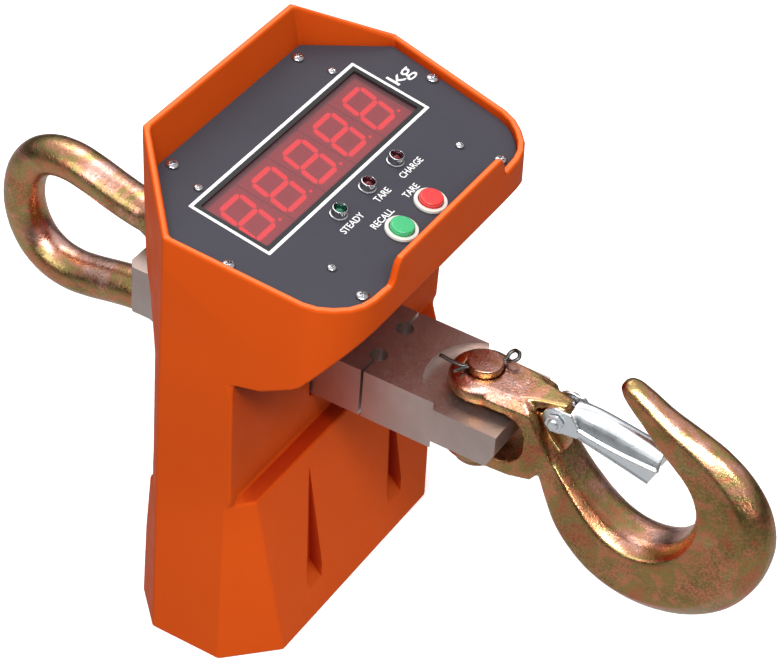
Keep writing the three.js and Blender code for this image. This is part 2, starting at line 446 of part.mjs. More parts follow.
// split pins: eye, legs through the hole, ends bent apart
function splitPin(name, cx, z, turn, long, short, rise) {
  const r = 1.35;
  const L = 10.8;
  const pts = [V(L + 7.6, 0.0, rise), V(L + 6.4, 2.9, rise * 0.86), V(L + 3.6, 3.1, rise * 0.5), V(L + 1.0, 0.35, rise * 0.12), V(L - 3, 0, 0), V(-L, 0, 0), ...long.map(([a, b, c]) => V(a, b, c))];
  const g = new THREE.ExtrudeGeometry(shapeOf(circle(0, 0, r, 6)), { steps: 22, extrudePath: new Path3(pts), bevelEnabled: false });
  const pts2 = [V(L + 7.8, -0.2, rise), V(L + 6.4, -3.1, rise * 0.86), V(L + 3.6, -3.1, rise * 0.5), V(L + 0.6, -0.2, rise * 0.08), V(L - 3.5, 0, 0)];
  const g2 = new THREE.ExtrudeGeometry(shapeOf(circle(0, 0, r, 6)), { steps: 10, extrudePath: new Path3(pts2), bevelEnabled: false });
  const pts3 = [V(-L + 2, 0, 0), ...short.map(([a, b, c]) => V(a, b, c))];
  const g3 = new THREE.ExtrudeGeometry(shapeOf(circle(0, 0, r * 0.9, 6)), { steps: 7, extrudePath: new Path3(pts3), bevelEnabled: false });
  const all = [g, g2, g3];
  for (const q of all) { q.rotateZ(turn * Math.PI / 180); q.translate(cx, 0, z); }
  add(name, union(all.map(solid)), DARK, 0.35, 0.9);
}
splitPin('shackle_cotter', SHACKLE_PIN_X, SC_Z, 90, [[-13, 0.3, 0], [-13.8, 3.4, 0.3], [-15.6, 8.6, 0.4]], [[-12.2, -0.4, 0], [-16, -5.6, 0.1], [-17.8, -10.5, 0.2]], 0);

// ---------------------------------------------------------------- hook
// inner edge, outer edge, half thickness, along the hook from shank to point
const HOOK = [
  [[98.5, 14], [93, -18], 14.4], [[109, 3], [100, -21.5], 14.6], [[120, -9.6], [104.3, -33.2], 15.2], [[129, -18.6], [111.6, -49.4], 16],
  [[138.5, -27], [121.6, -61.6], 16.8], [[148.2, -33], [136.8, -73.2], 17.3], [[158.8, -35.6], [155.6, -80], 17.4], [[169.6, -34.4], [176.6, -80.4], 17.3],
  [[179.8, -29.2], [199.4, -73.2], 17], [[187.8, -20], [218.4, -58], 16.6], [[192, -8.8], [231, -36.6], 16], [[192.5, 1.8], [235.8, -12], 15.2],
  [[189, 11.6], [231.5, 9.5], 14], [[183, 19.6], [220, 26.5], 12.8], [[174, 26.4], [204.5, 38.5], 11.4], [[163.6, 33.8], [187.5, 45.6], 10],
  [[154, 43], [170, 51.2], 8.6], [[146, 49.8], [156.6, 58], 7.6], [[140.9, 54.6], [148.2, 62.2], 6.2], [[138.3, 57.9], [143.4, 63.2], 4.2]];
const SECTION = [[0, 0.55], [0.05, 0.86], [0.16, 1], [0.55, 0.97], [0.82, 0.78], [0.95, 0.5], [1, 0.2]];
function hookRing([a, b, h]) {
  const pts = [];
  for (const [s, k] of SECTION) {
    const x = a[0] + (b[0] - a[0]) * s, z = a[1] + (b[1] - a[1]) * s;
    pts.push([x, k * h, z], [x, -k * h, z]);
  }
  return pts;
}
const hookParts = [];
for (let i = 1; i < HOOK.length; i++) hookParts.push(hull([...hookRing(HOOK[i - 1]), ...hookRing(HOOK[i])]));
let hook = union(hookParts);
// fork around the bar end
const forkOut = [[HOOK_PIN_X, FORK_BOTTOM], [80, FORK_BOTTOM], [90, -21.5], [99, -20], [110.5, -3], [99.6, 14.6], [94, 25], [90, FORK_TOP - 0.6], [86, FORK_TOP], [HOOK_PIN_X, FORK_TOP]];
const forkGap = [[HOOK_PIN_X - 30, FORK_GAP_LOW], [HOOK_PIN_X - 30, FORK_GAP_HIGH], [80, FORK_GAP_HIGH], [86, 16.6], [90.2, 13], [92.4, 8], [93, 2], [92.4, -4], [90.2, -9], [86, -12.6], [80, FORK_GAP_LOW]];
const planMask = hull([...circle(HOOK_PIN_X, 0, EAR_R, 32), [84, 15.4], [84, -15.4], [118, 15], [118, -15]].flatMap(([x, y]) => [[x, y, -60], [x, y, 60]]));
let fork = solid(side(forkOut, -20, 20)).add(solid(cyl(HOOK_PIN_X, 0, FORK_BOTTOM, FORK_TOP, EAR_R, 32))).intersect(planMask);
fork = fork.subtract(solid(side(forkGap, -25, 25)));
hook = hook.add(fork);
hook = hook.add(hull(both([[84, 10.5, FORK_TOP + 0.1], [84, 13, 22], [94, 6.6, FORK_TOP + 0.9], [95, 6.6, 24.6], [111, 3.2, 30.6], [110.6, 3.2, 28.6]])));
hook = hook.add(hull([...circle(LATCH_X, LATCH_Z, 6.2, 20), [96, 20], [100, -4], [114, 2]].flatMap(([x, z]) => [[x, 2.4, z], [x, -6.4, z]])));
hook = hook.subtract(solid(cyl(HOOK_PIN_X, 0, -60, 60, PIN_R + GAP, 28)))
  .subtract(solid(cylY(LATCH_X, LATCH_Z, -30, 30, LATCH_BOLT_R + GAP, 20)));
add('hook_forging', hook, ZINC, 0.4, 0.9);
const cpin = lathe([[0, -34], [8.5, -33.4], [12, -31], [13.2, -28.2], [13.2, FORK_BOTTOM - GAP], [PIN_R, FORK_BOTTOM - GAP], [PIN_R, 32.9], [9.2, 33.7], [0, 33.7]], 28);
cpin.translate(HOOK_PIN_X, 0, 0);
const CC_Z = 31.1, CC_TURN = 46.7;
const cpHole = cyl(0, 0, -20, 20, 1.8, 12); cpHole.rotateY(Math.PI / 2); cpHole.rotateZ(CC_TURN * Math.PI / 180); cpHole.translate(HOOK_PIN_X, 0, CC_Z);
add('clevis_pin', solid(cpin).subtract(solid(cpHole)), ZINC, 0.4, 0.9);
splitPin('clevis_cotter', HOOK_PIN_X, CC_Z, CC_TURN, [[-13, 0.8, 0], [-16.4, 4.4, 0.2], [-21.8, 11.2, 0.4]], [[-13, -0.6, 0], [-15.4, -1.3, 0.1], [-18.2, -2.4, 0.3]], 4.6);

// ---------------------------------------------------------------- safety latch
const bolt = lathe([[0, -13.4], [LATCH_BOLT_R - 0.3, -13.4], [LATCH_BOLT_R, -12.8], [LATCH_BOLT_R, 9.3 + GAP], [5.2, 9.3 + GAP], [5.2, 11.6], [4.2, 12.8], [0, 13.2]], 14);
bolt.rotateX(-Math.PI / 2); bolt.translate(LATCH_X, 0, LATCH_Z);
add('latch_bolt', bolt, 0xa9adb4, 0.3, 0.95);
const nutOut = cylY(LATCH_X, LATCH_Z, -12.2, -9.5, 5.3, 6);
add('latch_nut', solid(nutOut).subtract(solid(cylY(LATCH_X, LATCH_Z, -20, 0, LATCH_BOLT_R + 0.25, 20))), 0xa9adb4, 0.3, 0.95);
const eye = circle(LATCH_X, LATCH_Z, 8.3, 28);
const lug = [[106, 29.8], [115, 30.4], [121, 22.3], [143, 19.2], [165.6, 18.6], [168.6, 18], [163.6, 7.2], [122.4, 16.5], [112, 15]];
let latch = null;
for (const s of [1, -1]) {
  const y0 = s > 0 ? LATCH_W - LATCH_T : -LATCH_W, y1 = s > 0 ? LATCH_W : -LATCH_W + LATCH_T;
  const piece = solid(side(eye, y0, y1)).add(solid(side(lug, y0, y1)));
  latch = latch ? latch.add(piece) : piece;
}
// arched top of the latch: distance, foot of the arch, crown
const ARCH = [[114.6, 28.2, 32.6], [121, 22.3, 33.8], [130, 20.8, 33.8], [143, 19.2, 32.2], [156, 18.8, 29.8], [168.4, 18.2, 27.2]];
const archRing = ([x, f, c], t) => both([[x, LATCH_W - t, f - (t ? 6 : 0)], [x, LATCH_W - t, f + 0.8], [x, LATCH_W - 1.3 - t * 0.8, f + (c - f) * 0.45 - t * 0.3],
  [x, 4.9 - t * 0.5, c - (c - f) * 0.13 - t], [x, 0.2, c - t]]);
const archOf = (t, grow) => union(ARCH.slice(1).map((q, i) => {
  const p = ARCH[i];
  const a = i === 0 ? [p[0] - grow, p[1], p[2]] : p, b = i === ARCH.length - 2 ? [q[0] + grow, q[1], q[2]] : q;
  return hull([...archRing(a, t), ...archRing(b, t)]);
}));
latch = latch.add(archOf(0, 0).subtract(archOf(LATCH_T, 1)));
latch = latch.subtract(solid(cylY(LATCH_X, LATCH_Z, -30, 30, LATCH_BOLT_R + GAP, 20)));
add('safety_latch', latch, 0xc9d2da, 0.25, 0.95);
// wire spring beside the rib: one leg under the latch, one on the shank
const coil = [V(LATCH_X + 26, 3.6, LATCH_Z + 1.6), V(LATCH_X + 14, 3.6, LATCH_Z + 3.2)];
const TURNS = 2.75, COIL_R = 4.4;
for (let k = 0; k <= 33; k++) {
  const a = Math.PI / 2 - 0.25 + (k / 33) * 2 * Math.PI * TURNS;
  coil.push(V(LATCH_X + COIL_R * Math.cos(a), 3.5 + 2.9 * k / 33, LATCH_Z + COIL_R * Math.sin(a)));
}
const lastA = Math.PI / 2 - 0.25 + 2 * Math.PI * TURNS;
const tx = -Math.sin(lastA), tz = Math.cos(lastA);
const le = [LATCH_X + COIL_R * Math.cos(lastA), LATCH_Z + COIL_R * Math.sin(lastA)];
coil.push(V(le[0] + tx * 6, 6.4, le[1] + tz * 6));
add('latch_spring', new THREE.ExtrudeGeometry(shapeOf(circle(0, 0, 0.6, 5)), { steps: 46, extrudePath: new Path3(coil), bevelEnabled: false }), 0x8f949c, 0.3, 0.9);

export default group;
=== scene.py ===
import bpy
import bmesh
import json
import math
import numpy as np
from mathutils import Matrix, Vector

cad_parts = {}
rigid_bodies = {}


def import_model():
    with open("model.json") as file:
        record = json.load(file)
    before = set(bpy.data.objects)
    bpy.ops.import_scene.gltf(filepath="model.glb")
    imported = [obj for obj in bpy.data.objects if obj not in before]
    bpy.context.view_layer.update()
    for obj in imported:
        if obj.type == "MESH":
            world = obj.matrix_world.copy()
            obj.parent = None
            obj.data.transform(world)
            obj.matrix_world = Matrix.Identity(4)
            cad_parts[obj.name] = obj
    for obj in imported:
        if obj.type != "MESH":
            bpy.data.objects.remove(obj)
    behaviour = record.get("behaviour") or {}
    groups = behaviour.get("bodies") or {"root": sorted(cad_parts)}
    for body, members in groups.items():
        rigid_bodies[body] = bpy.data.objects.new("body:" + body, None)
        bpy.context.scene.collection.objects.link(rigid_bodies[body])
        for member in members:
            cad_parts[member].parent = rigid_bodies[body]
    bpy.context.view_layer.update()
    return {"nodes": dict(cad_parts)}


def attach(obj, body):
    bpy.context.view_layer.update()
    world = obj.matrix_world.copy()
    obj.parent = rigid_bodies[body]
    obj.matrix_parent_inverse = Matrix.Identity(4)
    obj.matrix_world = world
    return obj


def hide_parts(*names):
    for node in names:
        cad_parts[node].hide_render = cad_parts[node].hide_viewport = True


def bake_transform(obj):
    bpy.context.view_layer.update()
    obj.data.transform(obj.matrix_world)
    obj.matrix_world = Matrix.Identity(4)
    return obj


for o in list(bpy.data.objects):
    bpy.data.objects.remove(o)
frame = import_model()
NODES = frame["nodes"]
SCENE = bpy.context.scene

# ------------------------------------------------------------------ frame of the part
K = 0.00104                                  # metres per grid unit
TILT = 0.17                                  # fall of panel and rim towards the hook
ANG = math.atan(TILT)
COS, SIN = math.cos(ANG), math.sin(ANG)


def g(x, y, z):
    return Vector(((x + 57.3) * K, y * K, (z + 164.0) * K))


def pg(x, y, z):
    """Panel coordinates: along the panel towards the hook, across, and out of the panel."""
    return g(COS * x + SIN * z, y, -SIN * x + COS * z + 109.8)


def PX(x):
    return x / COS


# ------------------------------------------------------------------ node materials
class Mat:
    def __init__(self, name):
        self.m = bpy.data.materials.new(name)
        self.m.use_nodes = True
        self.t = self.m.node_tree
        self.b = self.t.nodes["Principled BSDF"]
        self.out = self.t.nodes["Material Output"]
        tc = self.t.nodes.new("ShaderNodeTexCoord")
        self.obj = tc.outputs["Object"]
        self.nrm = tc.outputs["Normal"]
        self.bump_out = None

    def set(self, **kw):
        names = dict(color="Base Color", rough="Roughness", metal="Metallic", spec="Specular IOR Level", coat="Coat Weight",
                     coat_rough="Coat Roughness", ior="IOR", sheen="Sheen Weight", aniso="Anisotropic", emit="Emission Color",
                     emit_power="Emission Strength", alpha="Alpha", trans="Transmission Weight", sss="Subsurface Weight")
        for k, v in kw.items():
            self.b.inputs[names[k]].default_value = (*v, 1) if isinstance(v, tuple) else v
        return self

    def node(self, kind, **kw):
        n = self.t.nodes.new(kind)
        for k, v in kw.items():
            setattr(n, k, v)
        return n

    def link(self, a, b):
        self.t.links.new(a, b)

    def coords(self, stretch=(1, 1, 1)):
        if stretch == (1, 1, 1):
            return self.obj
        mp = self.node("ShaderNodeMapping")
        mp.inputs["Scale"].default_value = stretch
        self.link(self.obj, mp.inputs["Vector"])
        return mp.outputs["Vector"]

    def noise(self, scale, detail=4, rough=0.55, warp=0.0, stretch=(1, 1, 1)):
        n = self.node("ShaderNodeTexNoise")
        n.inputs["Scale"].default_value = scale
        n.inputs["Detail"].default_value = detail
        n.inputs["Roughness"].default_value = rough
        n.inputs["Distortion"].default_value = warp
        self.link(self.coords(stretch), n.inputs["Vector"])
        return n.outputs["Fac"]

    def cells(self, scale, feature="F1", stretch=(1, 1, 1)):
        n = self.node("ShaderNodeTexVoronoi", feature=feature)
        n.inputs["Scale"].default_value = scale
        self.link(self.coords(stretch), n.inputs["Vector"])
        return n.outputs["Distance"]

    def ramp(self, fac, stops):
        r = self.node("ShaderNodeValToRGB")
        els = r.color_ramp.elements
        while len(els) < len(stops):
            els.new(0.5)
        for e, (p, c) in zip(els, stops):
            e.position = p
            e.color = (*c, 1) if len(c) == 3 else c
        self.link(fac, r.inputs["Fac"])
        return r.outputs["Color"]

    def math(self, op, a, b):
        n = self.node("ShaderNodeMath", operation=op)
        for i, v in enumerate((a, b)):
            if isinstance(v, (int, float)):
                n.inputs[i].default_value = v
            else:
                self.link(v, n.inputs[i])
        return n.outputs[0]

    def mix(self, fac, a, b, blend="MIX"):
        n = self.node("ShaderNodeMix", data_type="RGBA", blend_type=blend)
        for i, v in ((0, fac), (6, a), (7, b)):
            if isinstance(v, (int, float)):
                n.inputs[i].default_value = v
            elif isinstance(v, tuple):
                n.inputs[i].default_value = (*v, 1)
            else:
                self.link(v, n.inputs[i])
        return n.outputs[2]

    def to(self, socket, key):
        self.link(socket, self.b.inputs[key])
        return self

    def rough_range(self, fac, lo, hi):
        n = self.node("ShaderNodeMapRange")
        n.inputs["From Min"].default_value = 0.3
        n.inputs["From Max"].default_value = 0.7
        n.inputs["To Min"].default_value = lo
        n.inputs["To Max"].default_value = hi
        self.link(fac, n.inputs["Value"])
        self.link(n.outputs["Result"], self.b.inputs["Roughness"])
        return self

    def bump(self, fac, strength, distance):
        n = self.node("ShaderNodeBump")
        n.inputs["Strength"].default_value = strength
        n.inputs["Distance"].default_value = distance
        self.link(fac, n.inputs["Height"])
        if self.bump_out is not None:
            self.link(self.bump_out, n.inputs["Normal"])
        self.bump_out = n.outputs["Normal"]
        self.link(self.bump_out, self.b.inputs["Normal"])
        return self


def powder_coat():
    m = Mat("powder_coat_orange").set(color=(0.62, 0.082, 0.008), rough=0.40, spec=0.02)
    big, mid, fine = m.noise(9, 3), m.noise(60, 4), m.noise(900, 3, 0.5)
    c = m.mix(m.math("MULTIPLY", big, 0.5), (0.58, 0.072, 0.006), (0.66, 0.090, 0.010))
    c = m.mix(m.math("MULTIPLY", mid, 0.22), c, (0.52, 0.060, 0.004))
    # painted sheen: faces pointing up are mixed towards a paler orange, standing in for light reflected off the rim
    # tops and ledges
    sep = m.node("ShaderNodeSeparateXYZ")
    m.link(m.nrm, sep.inputs[0])
    top = m.ramp(sep.outputs["Z"], [(0.80, (0, 0, 0)), (0.97, (1, 1, 1))])
    c = m.mix(top, c, (0.80, 0.175, 0.055))
    # painted shade: where ambient occlusion within 0.11 m is low, in hollows, corners and recesses, the coat is mixed
    # towards a dark red
    hollow = m.node("ShaderNodeAmbientOcclusion")
    hollow.samples = 8
    hollow.only_local = True
    hollow.inputs["Distance"].default_value = 0.11
    c = m.mix(m.ramp(hollow.outputs["AO"], [(0.48, (1, 1, 1)), (0.80, (0, 0, 0))]), c, (0.26, 0.010, 0.001))
    # painted shade: below the head (object Z under about 0.225 m), where ambient occlusion within 0.20 m is low, the
    # coat is mixed towards a near-black red standing in for the shadow under the overhanging head
    deep = m.node("ShaderNodeAmbientOcclusion")
    deep.samples = 8
    deep.only_local = True
    deep.inputs["Distance"].default_value = 0.20
    place = m.node("ShaderNodeSeparateXYZ")
    m.link(m.obj, place.inputs[0])
    under = m.ramp(place.outputs["Z"], [(0.225, (1, 1, 1)), (0.25, (0, 0, 0))])
    shade = m.ramp(deep.outputs["AO"], [(0.62, (1, 1, 1)), (0.95, (0, 0, 0))])
    c = m.mix(m.mix(1.0, under, shade, "MULTIPLY"), c, (0.22, 0.007, 0.001))
    m.to(c, "Base Color")
    m.rough_range(mid, 0.34, 0.46)
    m.bump(m.noise(420, 2, 0.4), 0.16, 0.00035)
    m.bump(fine, 0.10, 0.00012)
    return m.m


def film():
    m = Mat("panel_film").set(color=(0.052, 0.050, 0.062), rough=0.55, spec=0.22)
    n = m.noise(14, 3)
    m.to(m.mix(n, (0.041, 0.039, 0.050), (0.056, 0.054, 0.067)), "Base Color")
    m.rough_range(m.noise(900, 2), 0.48, 0.62)
    m.bump(m.noise(2600, 2, 0.5), 0.22, 0.00006)
    return m.m


def yellow_zinc(name="yellow_zinc", dark=0.0, seed=0.0):
    """Yellow passivated zinc on a forging: gold going over to rose and green, with a grainy skin. Faces pointing up are
    pushed towards the pale rose end as a painted reflection of the bright sky.
    """
    m = Mat(name).set(metal=1.0, rough=0.36)
    big = m.noise(11 + seed, 4, 0.6, 1.6)
    mid = m.noise(46 + seed, 5, 0.62, 0.8)
    fine = m.noise(520, 3, 0.6)
    sep = m.node("ShaderNodeSeparateXYZ")
    m.link(m.nrm, sep.inputs[0])
    f = m.math("ADD", m.math("MULTIPLY", big, 0.66), m.math("MULTIPLY", mid, 0.34))
    # painted reflection: the normal's Z lifts up-facing faces towards the pale rose end of the ramp below
    f = m.math("ADD", f, m.math("MULTIPLY", sep.outputs["Z"], 0.12))
    k = 1 - dark
    c = m.ramp(f, [(0.28, (0.22 * k, 0.11 * k, 0.04 * k)), (0.37, (0.58 * k, 0.19 * k, 0.09 * k)), (0.43, (0.39 * k, 0.28 * k, 0.095 * k)),
                   (0.48, (0.72 * k, 0.27 * k, 0.14 * k)), (0.53, (0.47 * k, 0.37 * k, 0.135 * k)), (0.58, (0.80 * k, 0.37 * k, 0.22 * k)),
                   (0.64, (0.96 * k, 0.56 * k, 0.47 * k)), (0.73, (0.92 * k, 0.58 * k, 0.42 * k))])
    speck = m.ramp(m.noise(780, 3, 0.65), [(0.42, (0, 0, 0)), (0.60, (1, 1, 1))])
    patch = m.ramp(m.noise(30 + seed, 3, 0.6), [(0.40, (0.08, 0.08, 0.08)), (0.66, (0.55, 0.55, 0.55))])
    c = m.mix(m.mix(1.0, speck, patch, "MULTIPLY"), c, (0.10 * k, 0.055 * k, 0.028 * k))
    m.to(c, "Base Color")
    m.rough_range(m.noise(130, 4), 0.20, 0.34)
    m.bump(m.noise(170, 4, 0.6), 0.30, 0.0007)
    m.bump(m.noise(700, 3, 0.6), 0.42, 0.0004)
    return m.m


def bar_steel():
    """Machined alloy steel, blasted and nickelled."""
    # painted reflection: the pink warmth of these steel tones stands in for the orange housing reflected in the bar
    m = Mat("bar_steel").set(metal=1.0, rough=0.4, color=(0.46, 0.39, 0.36))
    n = m.noise(24, 4, 0.6, 0.4)
    lines = m.noise(300, 3, 0.6, 0.0, (0.06, 1, 1))
    c = m.ramp(n, [(0.3, (0.56, 0.45, 0.41)), (0.55, (0.65, 0.54, 0.50)), (0.75, (0.72, 0.62, 0.58))])
    c = m.mix(m.math("MULTIPLY", m.noise(1500, 2), 0.30), c, (0.33, 0.30, 0.28))
    m.to(c, "Base Color")
    m.rough_range(m.noise(900, 3), 0.36, 0.52)
    m.bump(m.noise(1700, 3, 0.6), 0.20, 0.00012)
    m.bump(lines, 0.10, 0.0001)
    return m.m


def bright_zinc(name, base, tint, rough=(0.2, 0.36), grain=0.14):
    m = Mat(name).set(metal=1.0, rough=0.28, color=base)
    n = m.noise(38, 4, 0.6, 0.8)
    c = m.mix(n, base, tint)
    c = m.mix(m.math("MULTIPLY", m.noise(260, 4), 0.25), c, tuple(v * 0.62 for v in base))
    m.to(c, "Base Color")
    m.rough_range(m.noise(110, 4), *rough)
    m.bump(m.noise(420, 4, 0.6), grain, 0.0002)
    return m.m


def plastic(name, a, b, rough=(0.28, 0.4), scale=60, grain=0.06, grain_scale=1200, **kw):
    m = Mat(name).set(color=a, **kw)
    m.to(m.mix(m.noise(scale, 4), a, b), "Base Color")
    m.rough_range(m.noise(scale * 4, 3), *rough)
    m.bump(m.noise(grain_scale, 2), grain, 0.0001)
    return m.m


def board():
    m = Mat("board_green").set(color=(0.02, 0.11, 0.045), rough=0.4)
    tracks = m.cells(260, "DISTANCE_TO_EDGE", (1, 1, 1))
    m.to(m.ramp(tracks, [(0.03, (0.035, 0.17, 0.07)), (0.07, (0.016, 0.10, 0.04)), (1, (0.02, 0.12, 0.05))]), "Base Color")
    m.bump(tracks, 0.2, 0.00005)
    return m.m


def window():
    """Tinted, slightly hazy acrylic."""
    m = Mat("window_red")
    t = m.t
    tr = m.node("ShaderNodeBsdfTransparent")
    tr.inputs["Color"].default_value = (0.90, 0.56, 0.58, 1)
    df = m.node("ShaderNodeBsdfDiffuse")
    n = m.noise(30, 3)
    m.link(m.mix(n, (0.50, 0.30, 0.33), (0.58, 0.36, 0.39)), df.inputs["Color"])
    a = m.node("ShaderNodeMixShader")
    a.inputs[0].default_value = 0.12
    m.link(tr.outputs[0], a.inputs[1])
    m.link(df.outputs[0], a.inputs[2])
    gl = m.node("ShaderNodeBsdfGlossy")
    gl.inputs["Roughness"].default_value = 0.14
    gl.inputs["Color"].default_value = (1, 1, 1, 1)
    b = m.node("ShaderNodeMixShader")
    b.inputs[0].default_value = 0.035
    m.link(a.outputs[0], b.inputs[1])
    m.link(gl.outputs[0], b.inputs[2])
    m.link(b.outputs[0], m.out.inputs["Surface"])
    return m.m


def lit():
    m = Mat("segment_lit").set(color=(0.35, 0.012, 0.018), rough=0.5, spec=0.2, emit=(1.0, 0.05, 0.07), emit_power=0.85)
    n = m.noise(300, 2)
    m.to(m.mix(n, (1.0, 0.04, 0.055), (1.0, 0.075, 0.09)), "Emission Color")
    m.bump(m.noise(1500, 2), 0.1, 0.0001)
    return m.m


def lens(name, deep, tone):
    m = Mat(name).set(color=deep, rough=0.16, coat=0.25, coat_rough=0.05, spec=0.4)
    m.to(m.mix(m.noise(500, 2), deep, tone), "Base Color")
    m.bump(m.noise(300, 2), 0.03, 0.0001)
    return m.m


M = {
    "orange_coat": powder_coat(),
    "panel_film": film(),
    "yellow_zinc": yellow_zinc(),
    "pin_zinc": yellow_zinc("pin_zinc", 0.30, 5.0),
    "bar_steel": bar_steel(),
    "bright_zinc": bright_zinc("bright_zinc", (0.88, 0.93, 0.96), (0.93, 0.97, 0.99), (0.24, 0.34), 0.04),
    "stainless": bright_zinc("stainless", (0.50, 0.50, 0.52), (0.62, 0.62, 0.64), (0.16, 0.3), 0.06),
    "chrome_bezel": bright_zinc("chrome_bezel", (0.52, 0.52, 0.54), (0.62, 0.62, 0.64), (0.08, 0.18), 0.03),
    "bolt_steel": bright_zinc("bolt_steel", (0.40, 0.40, 0.41), (0.5, 0.5, 0.52), (0.3, 0.45), 0.15),
    "plate_steel": bright_zinc("plate_steel", (0.50, 0.49, 0.48), (0.6, 0.6, 0.6), (0.3, 0.5), 0.15),
    "cotter_steel": bright_zinc("cotter_steel", (0.10, 0.095, 0.09), (0.20, 0.19, 0.18), (0.28, 0.45), 0.2),
    "cover_coat": plastic("cover_coat", (0.035, 0.035, 0.038), (0.05, 0.05, 0.053), (0.45, 0.6), 30, 0.25, 900),
    "gasket_rubber": plastic("gasket_rubber", (0.012, 0.012, 0.012), (0.02, 0.02, 0.02), (0.6, 0.8), 80, 0.3, 900),
    "cable_jacket": plastic("cable_jacket", (0.02, 0.02, 0.022), (0.03, 0.03, 0.033), (0.4, 0.55), 60, 0.2, 900),
    "battery_wrap": plastic("battery_wrap", (0.035, 0.06, 0.11), (0.05, 0.08, 0.14), (0.25, 0.4), 20, 0.1, 300),
    "button_green": plastic("button_green", (0.040, 0.40, 0.15), (0.055, 0.46, 0.18), (0.22, 0.3), 120, 0.05, 900, coat=0.3, coat_rough=0.1),
    "button_red": plastic("button_red", (0.64, 0.030, 0.030), (0.70, 0.045, 0.04), (0.22, 0.3), 120, 0.05, 900, coat=0.3, coat_rough=0.1),
    "ring_cream": plastic("ring_cream", (0.66, 0.64, 0.58), (0.74, 0.72, 0.66), (0.22, 0.34), 120, 0.05, 900, coat=0.25, coat_rough=0.1),
    "legend_white": plastic("legend_white", (0.80, 0.80, 0.80), (0.86, 0.86, 0.86), (0.4, 0.5), 200, 0.04, 2000),
    "board_green": board(),
    "window_red": window(),
    "led_red": lit(),
    "digit_body": plastic("digit_body", (0.26, 0.05, 0.055), (0.32, 0.065, 0.07), (0.35, 0.5), 90, 0.1, 900),
    "lens_green": lens("lens_green", (0.004, 0.09, 0.045), (0.01, 0.16, 0.09)),
    "lens_red": lens("lens_red", (0.09, 0.004, 0.008), (0.17, 0.012, 0.018)),
    "mask_black": plastic("mask_black", (0.010, 0.010, 0.012), (0.016, 0.016, 0.018), (0.4, 0.55), 60, 0.08, 900),
    # painted shade: a near-black finish standing in for shade inside hollows
    "hollow_dark": plastic("hollow_dark", (0.01, 0.01, 0.01), (0.016, 0.015, 0.015), (0.6, 0.8), 60, 0.1, 600),
}

# ------------------------------------------------------------------ mesh tools


def raw(name, verts, faces, at=g, mats=(), face_mats=None, fix=True):
    me = bpy.data.meshes.new(name)
    me.from_pydata([tuple(at(*v)) for v in verts], [], faces)
    if face_mats:
        for p, i in zip(me.polygons, face_mats):
            p.material_index = i
    bm = bmesh.new()
    bm.from_mesh(me)
    bmesh.ops.remove_doubles(bm, verts=bm.verts, dist=1e-7)
    bmesh.ops.dissolve_degenerate(bm, edges=bm.edges, dist=1e-7)
    if fix:
        bmesh.ops.recalc_face_normals(bm, faces=bm.faces)
    bm.to_mesh(me)
    bm.free()
    o = bpy.data.objects.new(name, me)
    SCENE.collection.objects.link(o)
    for m in mats:
        me.materials.append(M[m])
    return o


def bake(o):
    dg = bpy.context.evaluated_depsgraph_get()
    me = bpy.data.meshes.new_from_object(o.evaluated_get(dg))
    o.modifiers.clear()
    old = o.data
    o.data = me
    me.name = old.name
    bpy.data.meshes.remove(old)
    return o


def drop(*objs):
    for o in objs:
        me = o.data
        bpy.data.objects.remove(o)
        if isinstance(me, bpy.types.Mesh) and me.users == 0:
            bpy.data.meshes.remove(me)


def boolean(o, cutters, op="DIFFERENCE"):
    for c in cutters:
        m = o.modifiers.new("b", "BOOLEAN")
        m.operation, m.object, m.solver = op, c, "EXACT"
    bake(o)
    drop(*cutters)
    return o


def join(objs, name):
    bm = bmesh.new()
    for o in objs:
        bm.from_mesh(o.data)
    me = bpy.data.meshes.new(name)
    bm.to_mesh(me)
    bm.free()
    for m in objs[0].data.materials:
        me.materials.append(m)
    drop(*objs)
    o = bpy.data.objects.new(name, me)
    SCENE.collection.objects.link(o)
    return o


def bevel(o, width, segments=3, angle=30, clamp=True, profile=0.5):
    m = o.modifiers.new("bevel", "BEVEL")
    m.width, m.segments, m.limit_method, m.angle_limit = width * K, segments, "ANGLE", math.radians(angle)
    m.use_clamp_overlap = clamp
    m.profile = profile
    m.miter_outer = "MITER_ARC"
    bake(o)
    return o


def smooth(o, angle=38, weighted=True):
    o.data.shade_smooth()
    o.data.set_sharp_from_angle(angle=math.radians(angle))
    if weighted:
        m = o.modifiers.new("wn", "WEIGHTED_NORMAL")
        m.keep_sharp = True
        m.weight = 80
        bake(o)
    return o


def voxels(o, size, rounds=6, factor=0.5):
    m = o.modifiers.new("r", "REMESH")
    m.mode, m.voxel_size, m.use_smooth_shade = "VOXEL", size * K, True
    bake(o)
    if rounds:
        s = o.modifiers.new("s", "SMOOTH")
        s.factor, s.iterations = factor, rounds
        bake(o)
    o.data.shade_smooth()
    return o


def paint(o, *mats):
    o.data.materials.clear()
    for m in mats:
        o.data.materials.append(M[m])
    return o


def done(o, name, body, slot, *nodes):
    o.name = name
    o.data.name = name
    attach(o, body)
    if nodes:
        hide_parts(*nodes)
    return o


def prism(name, poly, lo, hi, plane="xy", at=g):
    """A closed outline pushed between two levels."""
    n = len(poly)
    put = {"xy": lambda a, b, c: (a, b, c), "xz": lambda a, b, c: (a, c, b), "yz": lambda a, b, c: (c, a, b)}[plane]
    verts = [put(a, b, lo) for a, b in poly] + [put(a, b, hi) for a, b in poly]
    faces = [list(range(n))[::-1], list(range(n, 2 * n))] + [[i, (i + 1) % n, n + (i + 1) % n, n + i] for i in range(n)]
    return raw(name, verts, faces, at)


def boxed(name, x0, x1, y0, y1, z0, z1, at=g):
    return prism(name, [(x0, y0), (x1, y0), (x1, y1), (x0, y1)], z0, z1, "xy", at)


